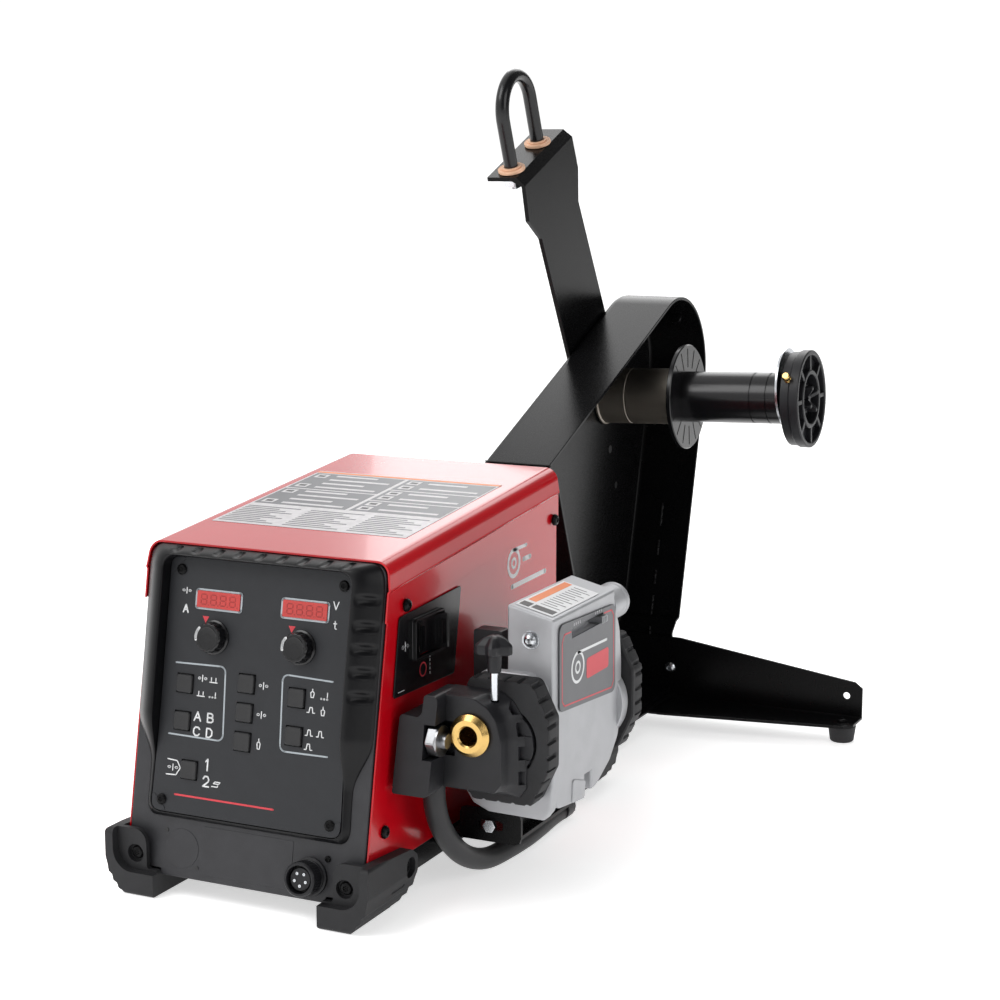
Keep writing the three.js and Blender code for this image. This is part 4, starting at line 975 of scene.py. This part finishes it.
def gun_entry():
    """The brass bushing, the bolt that clamps it, and the bracket and cable clamp below."""
    bushing = [(7.5, 112), (7.5, 52.6), (8.8, 51.2), (13, 51.2), (17, 55.2), (17, 57.4), (15, 57.8),
               (15, 112)]
    finished("gun_bushing", turned(bushing, along_y(WIRE.x, WIRE.z), 96, 0.25), BRASS)
    across = move(0, 49.6, 143) @ X_UP
    bolt = hexagon(22.4, 142, 150.6, across) + rod(12.4, 150.4, 152, across, 40)
    bolt += rod(6, 139.6, 142.4, across, 32, 0.8)
    bolt += rod(6, 151, 156.5, across, 32)
    finished("clamp_bolt", bolt, STEEL)
    refined("mount_bracket", BLACK_PAINT, 0.8)
    refined("cable_clamp", BLACK_PLASTIC, 0.8)
    bolt = hexagon(10, 0, 4, move(161, 116, 56) @ spin(90, "X"))
    piece("bracket_bolt", bolt, ZINC)


PADS = 26  # moulded pads round a bumper


def bumper(node, y0, y1, bore, axis, front):
    """An eight-sided rubber ring with moulded pads; the pads' grooves run in from one edge."""
    corners = [(25.5, -50.5), (40, -20), (40, 20), (25.5, 49.5), (-27.5, 49.5), (-42, 20), (-42, -20),
               (-27.5, -50.5)]
    base = resample(rounded(corners, 7, 6), 1.1)
    inner = offset(base, 1)
    face, far = (y0, y1) if front else (y1, y0)
    inward = 1 if front else -1
    deep = abs(y1 - y0)
    rows = [(0, 1.6, 0), (0.5, 0.5, 0.5), (1.6, 0, 1), (deep * 0.62, 0, 1), (deep * 0.72, 0.4, 0.2),
            (deep - 1.2, 0.5, 0), (deep, 1.8, 0)]

    def groove(k):
        share = (k / len(base) * PADS) % 1
        return min(1, max(0, (abs(share - 0.5) - 0.36) / 0.04))

    def bored(y, radius):
        angles = [math.atan2(z, x) for x, z in base]
        return [(axis.x + radius * math.cos(a), y, axis.z + radius * math.sin(a)) for a in angles]

    def ring(y, shrink, share):
        loop = []
        for k, ((x, z), (u, v)) in enumerate(zip(base, inner)):
            depth = shrink + 2.4 * share * groove(k)
            loop.append((DRIVE.x + x + (u - x) * depth, y, DRIVE.z + z + (v - z) * depth))
        return loop

    loops = [ring(face, 5, 0)] + [ring(face + inward * depth, *rest) for depth, *rest in rows]
    lip = bore - 6 if front else bore
    loops += [bored(far, bore), bored(face + inward * 3, bore), bored(face + inward * 3, lip),
              bored(face - inward * 0.6, lip)]
    finished(node, loft(loops, closed=True), RUBBER, smooth=30)


def clamp_knob():
    """A five-lobed knob with a faceted crown, its stem and stud."""
    rows = [(210.4, 0.5), (211, 0.94), (212.4, 1), (217.6, 1.0), (219, 0.95), (223.2, 0.6), (224.8, 0.35),
            (225.2, 0.15)]
    crown = soften(lobed(rows, lambda a: 13 + 2.6 * math.cos(5 * a), 30), 0.4)
    stem = turned([(0, 196), (5, 196), (5.4, 197), (5.8, 211), (0, 211)], sides=40, radius=0.4)
    finished("clamp_knob", (crown + stem).at(CLAMP_AXIS), BLACK_PLASTIC, "clamp_knob", 24)
    piece("clamp_knob_stud", rod(3.2, 174, 196.4, CLAMP_AXIS, 28, 0.3), ZINC, "clamp_knob")


def rolls():
    """Grooved, toothed rolls about the x axis, and the arm that carries the upper two."""
    shell = [(4.4, 163.5), (9, 163.5), (9, 165), (10, 165.6), (15, 165.6), (15, 170.9), (14, 172),
             (15, 173.1), (15, 174), (14.5, 174.5), (4.4, 174.5)]
    teeth = around(slab(14.7, 15.2, -0.3, 0.3, 166.4, 169.6), 60)
    shape = (turned(shell, sides=72) + teeth).at(X_UP)
    for word, y in (("front", 155), ("rear", 205)):
        for kind, z in (("drive", 132.6), ("pressure", 163.4)):
            node = f"{kind}_roll_{word}"
            finished(node, shape.at(move(0, y, z)), STEEL, node)
    refined("pressure_arm", BLACK_PLASTIC, 1.0, "pressure_arm")


CABLE_ROUTE = [(138.5, 60.5, 106), (138.5, 60.5, 93), (138.3, 63.5, 82), (138, 70, 69), (137.5, 85, 51),
               (137, 109, 31.5), (137, 135, 18.2), (138, 160, 11.2), (140, 190, 9.5), (142, 225, 9.5),
               (141, 255, 9.5), (139.2, 282, 9.5), (139, 292, 9.5), (139, 300, 9.5)]


def power_cable():
    path = smooth_path(CABLE_ROUTE)
    made = finished("power_cable", tube(path, 9, 32), CABLE)


# ---------- reel stand ----------
def mast():
    """A tray: the web, and a band all round it, joined by a soft bend."""
    outline = [(492, 23.8), (686.3, 23.8), (686.3, 86), (697, 95.6), (706, 98)]
    outline += arc(694, 360, 81.5, -15.4, 112.4, 40) + [(363, 311.2), (365, 307), (378, 299)]
    outline = rounded(outline, [4, 3, 0, 1, 0] + [0] * 41 + [1, 2, 3], 4)
    rows = [(0, STAND_NEAR - 0.5), (0, 41), (0.5, 38), (1.7, 35.9), (3.4, 34.7), (5.6, 34)]
    inner = [(5.8, 37), (4.4, 37.8), (3.3, 39.4), (3, 42), (3, STAND_NEAR - 0.5), (2.5, STAND_NEAR),
             (0.5, STAND_NEAR)]
    loops = [[(x, y, z) for y, z in offset(outline, d)] for d, x in rows + inner]
    shell = loft(loops, closed=True)
    count = len(outline)
    web = [tuple(range(count * 5, count * 6)), tuple(range(count * 6, count * 7))]
    keep = [f for f in shell.faces if not (min(f) // count == 5 and max(f) // count == 6)]
    shape = Shape(shell.verts, keep + web)
    shape += turned([(0, 745.4), (7, 745.4), (6.4, 743.6), (0, 743.4)], along_y(76, 416.5), 32)
    finished("mast", shape, BLACK_PAINT, smooth=30)


def mast_fittings():
    """Two black discs painted as the shade of the web's two holes, the weld beads along its bends, and a
    bolt.
    """
    # Painted shade: flat black discs where the web's holes are; no holes are cut.
    hole_shade_discs = together(prism_x(circle(y, z, r, 24), 36.9, 37.06)
                     for y, z, r in ((662.3, 282.3, 4.2), (679, 242, 3.6)))
    piece("mast_web_hole_shade", hole_shade_discs, BLACK_INK_AND_HOLE_SHADE)
    beads = []
    for z0, z1 in ((70, 92), (104, 124), (136, 150), (166, 182), (196, 220)):
        heights = [z0 + (z1 - z0) * k / 12 for k in range(13)]
        points = [(76, 683.2 + max(0, z - 92) * 0.257 - 1, z) for z in heights]
        beads.append(tube(points, lambda s: 1.7 + 0.5 * math.sin(s * 2.2), 10))
    foot = [(STAND_WEB + 3.6, y, 27.4) for y in range(510, 676, 5)]
    beads.append(tube(foot, lambda s: 2 + 0.5 * math.sin(s * 1.8), 10))
    piece("mast_welds", together(beads), BLACK_PAINT)
    piece("stand_bolts", screw_head(6, 4, move(101, 679.7, 50) @ spin(90, "X")), ZINC)


def rear_legs():
    refined("rear_leg_right", BLACK_PAINT, 0.7)
    refined("rear_leg_left", BLACK_PAINT, 0.7)
    for word, x in (("right", 296), ("left", -120)):
        foot = turned([(0, 0), (10.6, 0), (12, 1.4), (14, 15), (14, 16.6), (0, 16.6)], sides=48, radius=0.8)
        finished(f"leg_foot_{word}", foot.at(move(x, 658, 0)), RUBBER)
        piece(f"leg_foot_{word}_screw", screw_head(5.5, 3, move(x, 658, 20)), BLACK_PAINT)


def bail():
    """The lifting arm, with a U-bolt through its shelf on fibre washers."""
    finished("bail", soften(cad("bail"), 0.9, 3), BLACK_PAINT, smooth=50)
    legs, radius = 48.5, 32
    path = [(0, -radius, z) for z in (-12, 0, 12, 24)]
    path += [(0, y, z) for y, z in arc(0, legs, radius, 180, 0, 32)]
    path += [(0, radius, z) for z in (24, 12, 0, -12)]
    finished("u_bolt", tube(path, 6.5, 32).at(SHELF), GLOSS_PLASTIC)
    washers, nuts = [], []
    for y in (-radius, radius):
        washers.append(turned([(6.6, 0.3), (13, 0.3), (13, 3.4), (6.6, 3.4)], move(0, y, 0), 48, 0.6))
        washers.append(turned([(6.6, 3.4), (9.6, 3.4), (9.6, 5), (6.6, 5)], move(0, y, 0), 48, 0.5))
        nuts.append(hexagon(19, -13, -4.4, move(0, y, 0)))
        nuts.append(turned([(0, -17), (5.4, -17), (6, -16.4), (6, -12), (0, -12)], move(0, y, 0), 32))
    piece("u_bolt_washers", together(washers).at(SHELF), FIBRE)
    piece("u_bolt_nuts", together(nuts).at(SHELF), ZINC)


def spindle():
    """The fixed tube, and the brake hub that turns on it."""
    shaft = [(0, 38), (30, 38), (30, 40), (28.5, 41), (28.5, 69.4), (28, 69.8), (28, 70.6), (28.5, 71),
             (28.5, 123), (12, 123.6), (12, 236), (0, 236)]
    finished("spindle_shaft", turned(shaft, SPINDLE_AXIS, 96, 0.3), TUBE_STEEL)
    hub = [(12.4, 124.5), (52, 124.5), (53, 125.4), (53, 128.6), (52.2, 129.5), (25.7, 129.5), (25.7, 201.6),
           (24.8, 202), (24.8, 202.9), (25.7, 203.3), (25.7, 218.3), (24.8, 218.7), (24.8, 219.6),
           (25.7, 220), (25.7, 237.6), (24.8, 238.5), (12.4, 238.5)]
    shape = turned(hub, sides=96) + around(slab(30, 49, -0.4, 0.4, 129.3, 129.9), 16)
    finished("brake_hub", shape.at(SPINDLE_AXIS), GLOSS_PLASTIC, "brake_hub")


def collar():
    """The retaining collar: a rim with eight spokes and six teeth, a spring disc and a pin."""
    rim = [(19, 240), (44, 240), (46.4, 241), (46.8, 247), (47, 249), (48, 250), (48.4, 251), (48.4, 258.6),
           (47.4, 259.5), (44.6, 259.5), (43.6, 258.6), (43.4, 253.6), (29, 253.6), (29, 258.4), (28, 259.2),
           (25.4, 259.2), (24.6, 258.4), (24.6, 249), (19, 249)]
    shape = turned(rim, sides=96) + around(soften(slab(28.6, 43.8, -2.2, 2.2, 252, 258.6), 0.6), 8)
    shape += around(slab(19.2, 24.8, -1.2, 1.2, 248, 254), 6, 0.4)
    finished("retaining_collar", shape.at(SPINDLE_AXIS), BLACK_PLASTIC, "retaining_collar")
    rows = ((235, 26.3, 0, 0), (235, 39, -4.5, 11.6), (237, 39, -4.5, 11.6), (237, 26.3, 0, 0))
    disc = loft([[(x, y + r * math.cos(a), z + r * math.sin(a)) for a in turns(72)] for x, r, y, z in rows],
                closed=True)
    piece("collar_spring_disc", disc.at(SPINDLE), ZINC, "retaining_collar")
    pin = [(0, 0), (4, 0), (4, 1.2), (3.5, 1.6), (4, 2), (4, 3.2), (3.5, 3.6), (4, 4), (4, 8), (3, 9.4),
           (0, 9.4)]
    pin = turned(pin, spin(60, "X") @ move(247.7, 0, 46.6), 24)
    piece("collar_pin", pin.at(SPINDLE), BRASS, "retaining_collar")


def wing_nut():
    nut = turned([(0, 240), (15.4, 240), (15.6, 251), (13.6, 253.4), (0, 254)], sides=60, radius=0.6)
    blade = [(-14.6, 248), (14.6, 248), (14.6, 262.4), (11, 262.4), (4, 257), (-4, 257), (-11, 262.4),
             (-14.6, 262.4)]
    blade = soften(prism_y(rounded(blade, 1.2), -1.9, 1.9), 0.6)
    nut += blade.at(spin(28)) + blade.at(spin(118))
    finished("wing_nut", nut.at(SPINDLE_AXIS), BLACK_PLASTIC, "wing_nut")


# ---------- studio ----------
def studio():
    """A pale floor, a sky that dims towards the right, and three soft lights."""
    floor_mesh = bpy.data.meshes.new("floor")
    reach = 60
    corners = [(x, y, 0) for x, y in rectangle(-reach, reach, -reach, reach)]
    floor_mesh.from_pydata(corners, [], [(0, 1, 2, 3)])
    pale = bpy.data.materials.new("floor_pale")
    nodes, _ = open_tree(pale)
    dial(nodes["Principled BSDF"], Base_Color=(0.97, 0.97, 0.97, 1), Roughness=0.55,
         Emission_Color=(1, 1, 1, 1), Emission_Strength=0.58)
    floor_mesh.materials.append(pale)
    put("floor", floor_mesh)
    world = bpy.data.worlds.new("studio")
    nodes, link = open_tree(world)
    sky = dial(nodes["Background"], Color=(1, 1, 1, 1))
    way = nodes.new("ShaderNodeTexCoord")
    axes = nodes.new("ShaderNodeSeparateXYZ")
    dim = dial(nodes.new("ShaderNodeMapRange"), From_Min=-0.1, From_Max=0.3, To_Min=1.06, To_Max=0.12)
    link(way, "Generated", axes, "Vector")
    link(axes, "X", dim, "Value")
    link(dim, "Result", sky, "Strength")
    bpy.context.scene.world = world
    centre = Vector((0, 0, 0.25))
    lights = (("key", (-1.2, -1.6, 2.4), 1.6, 34), ("fill", (2.6, -0.8, 1.5), 1.8, 22),
              ("rear", (-0.6, 2.4, 1.9), 2.0, 26))
    for name, place, size, power in lights:
        data = bpy.data.lights.new(name, "AREA")
        data.shape = "SQUARE"
        data.size = size
        data.energy = power
        light = put(name, data)
        light.location = place
        light.rotation_mode = "QUATERNION"
        light.rotation_quaternion = (centre - Vector(place)).to_track_quat("-Z", "Y")
    bpy.context.scene.view_settings.view_transform = "Standard"


make_camera()
power_cable()
for make in (box_shell, top_cover, roof_label, corner_feet, bezel_hood, front_bezel, faceplate,
             panel_marks, displays, knobs, keys, trigger_connector, switch, side_mark, gearbox,
             gearbox_fittings, gearbox_label, badge, front_housing, gun_entry):
    make()
bumper("front_bumper", 82.5, 104.6, 36, DRIVE, True)
bumper("rear_bumper", 258.4, 279, 8, WIRE, False)
for make in (clamp_knob, rolls, mast, mast_fittings, rear_legs, bail, spindle, collar, wing_nut, studio):
    make()
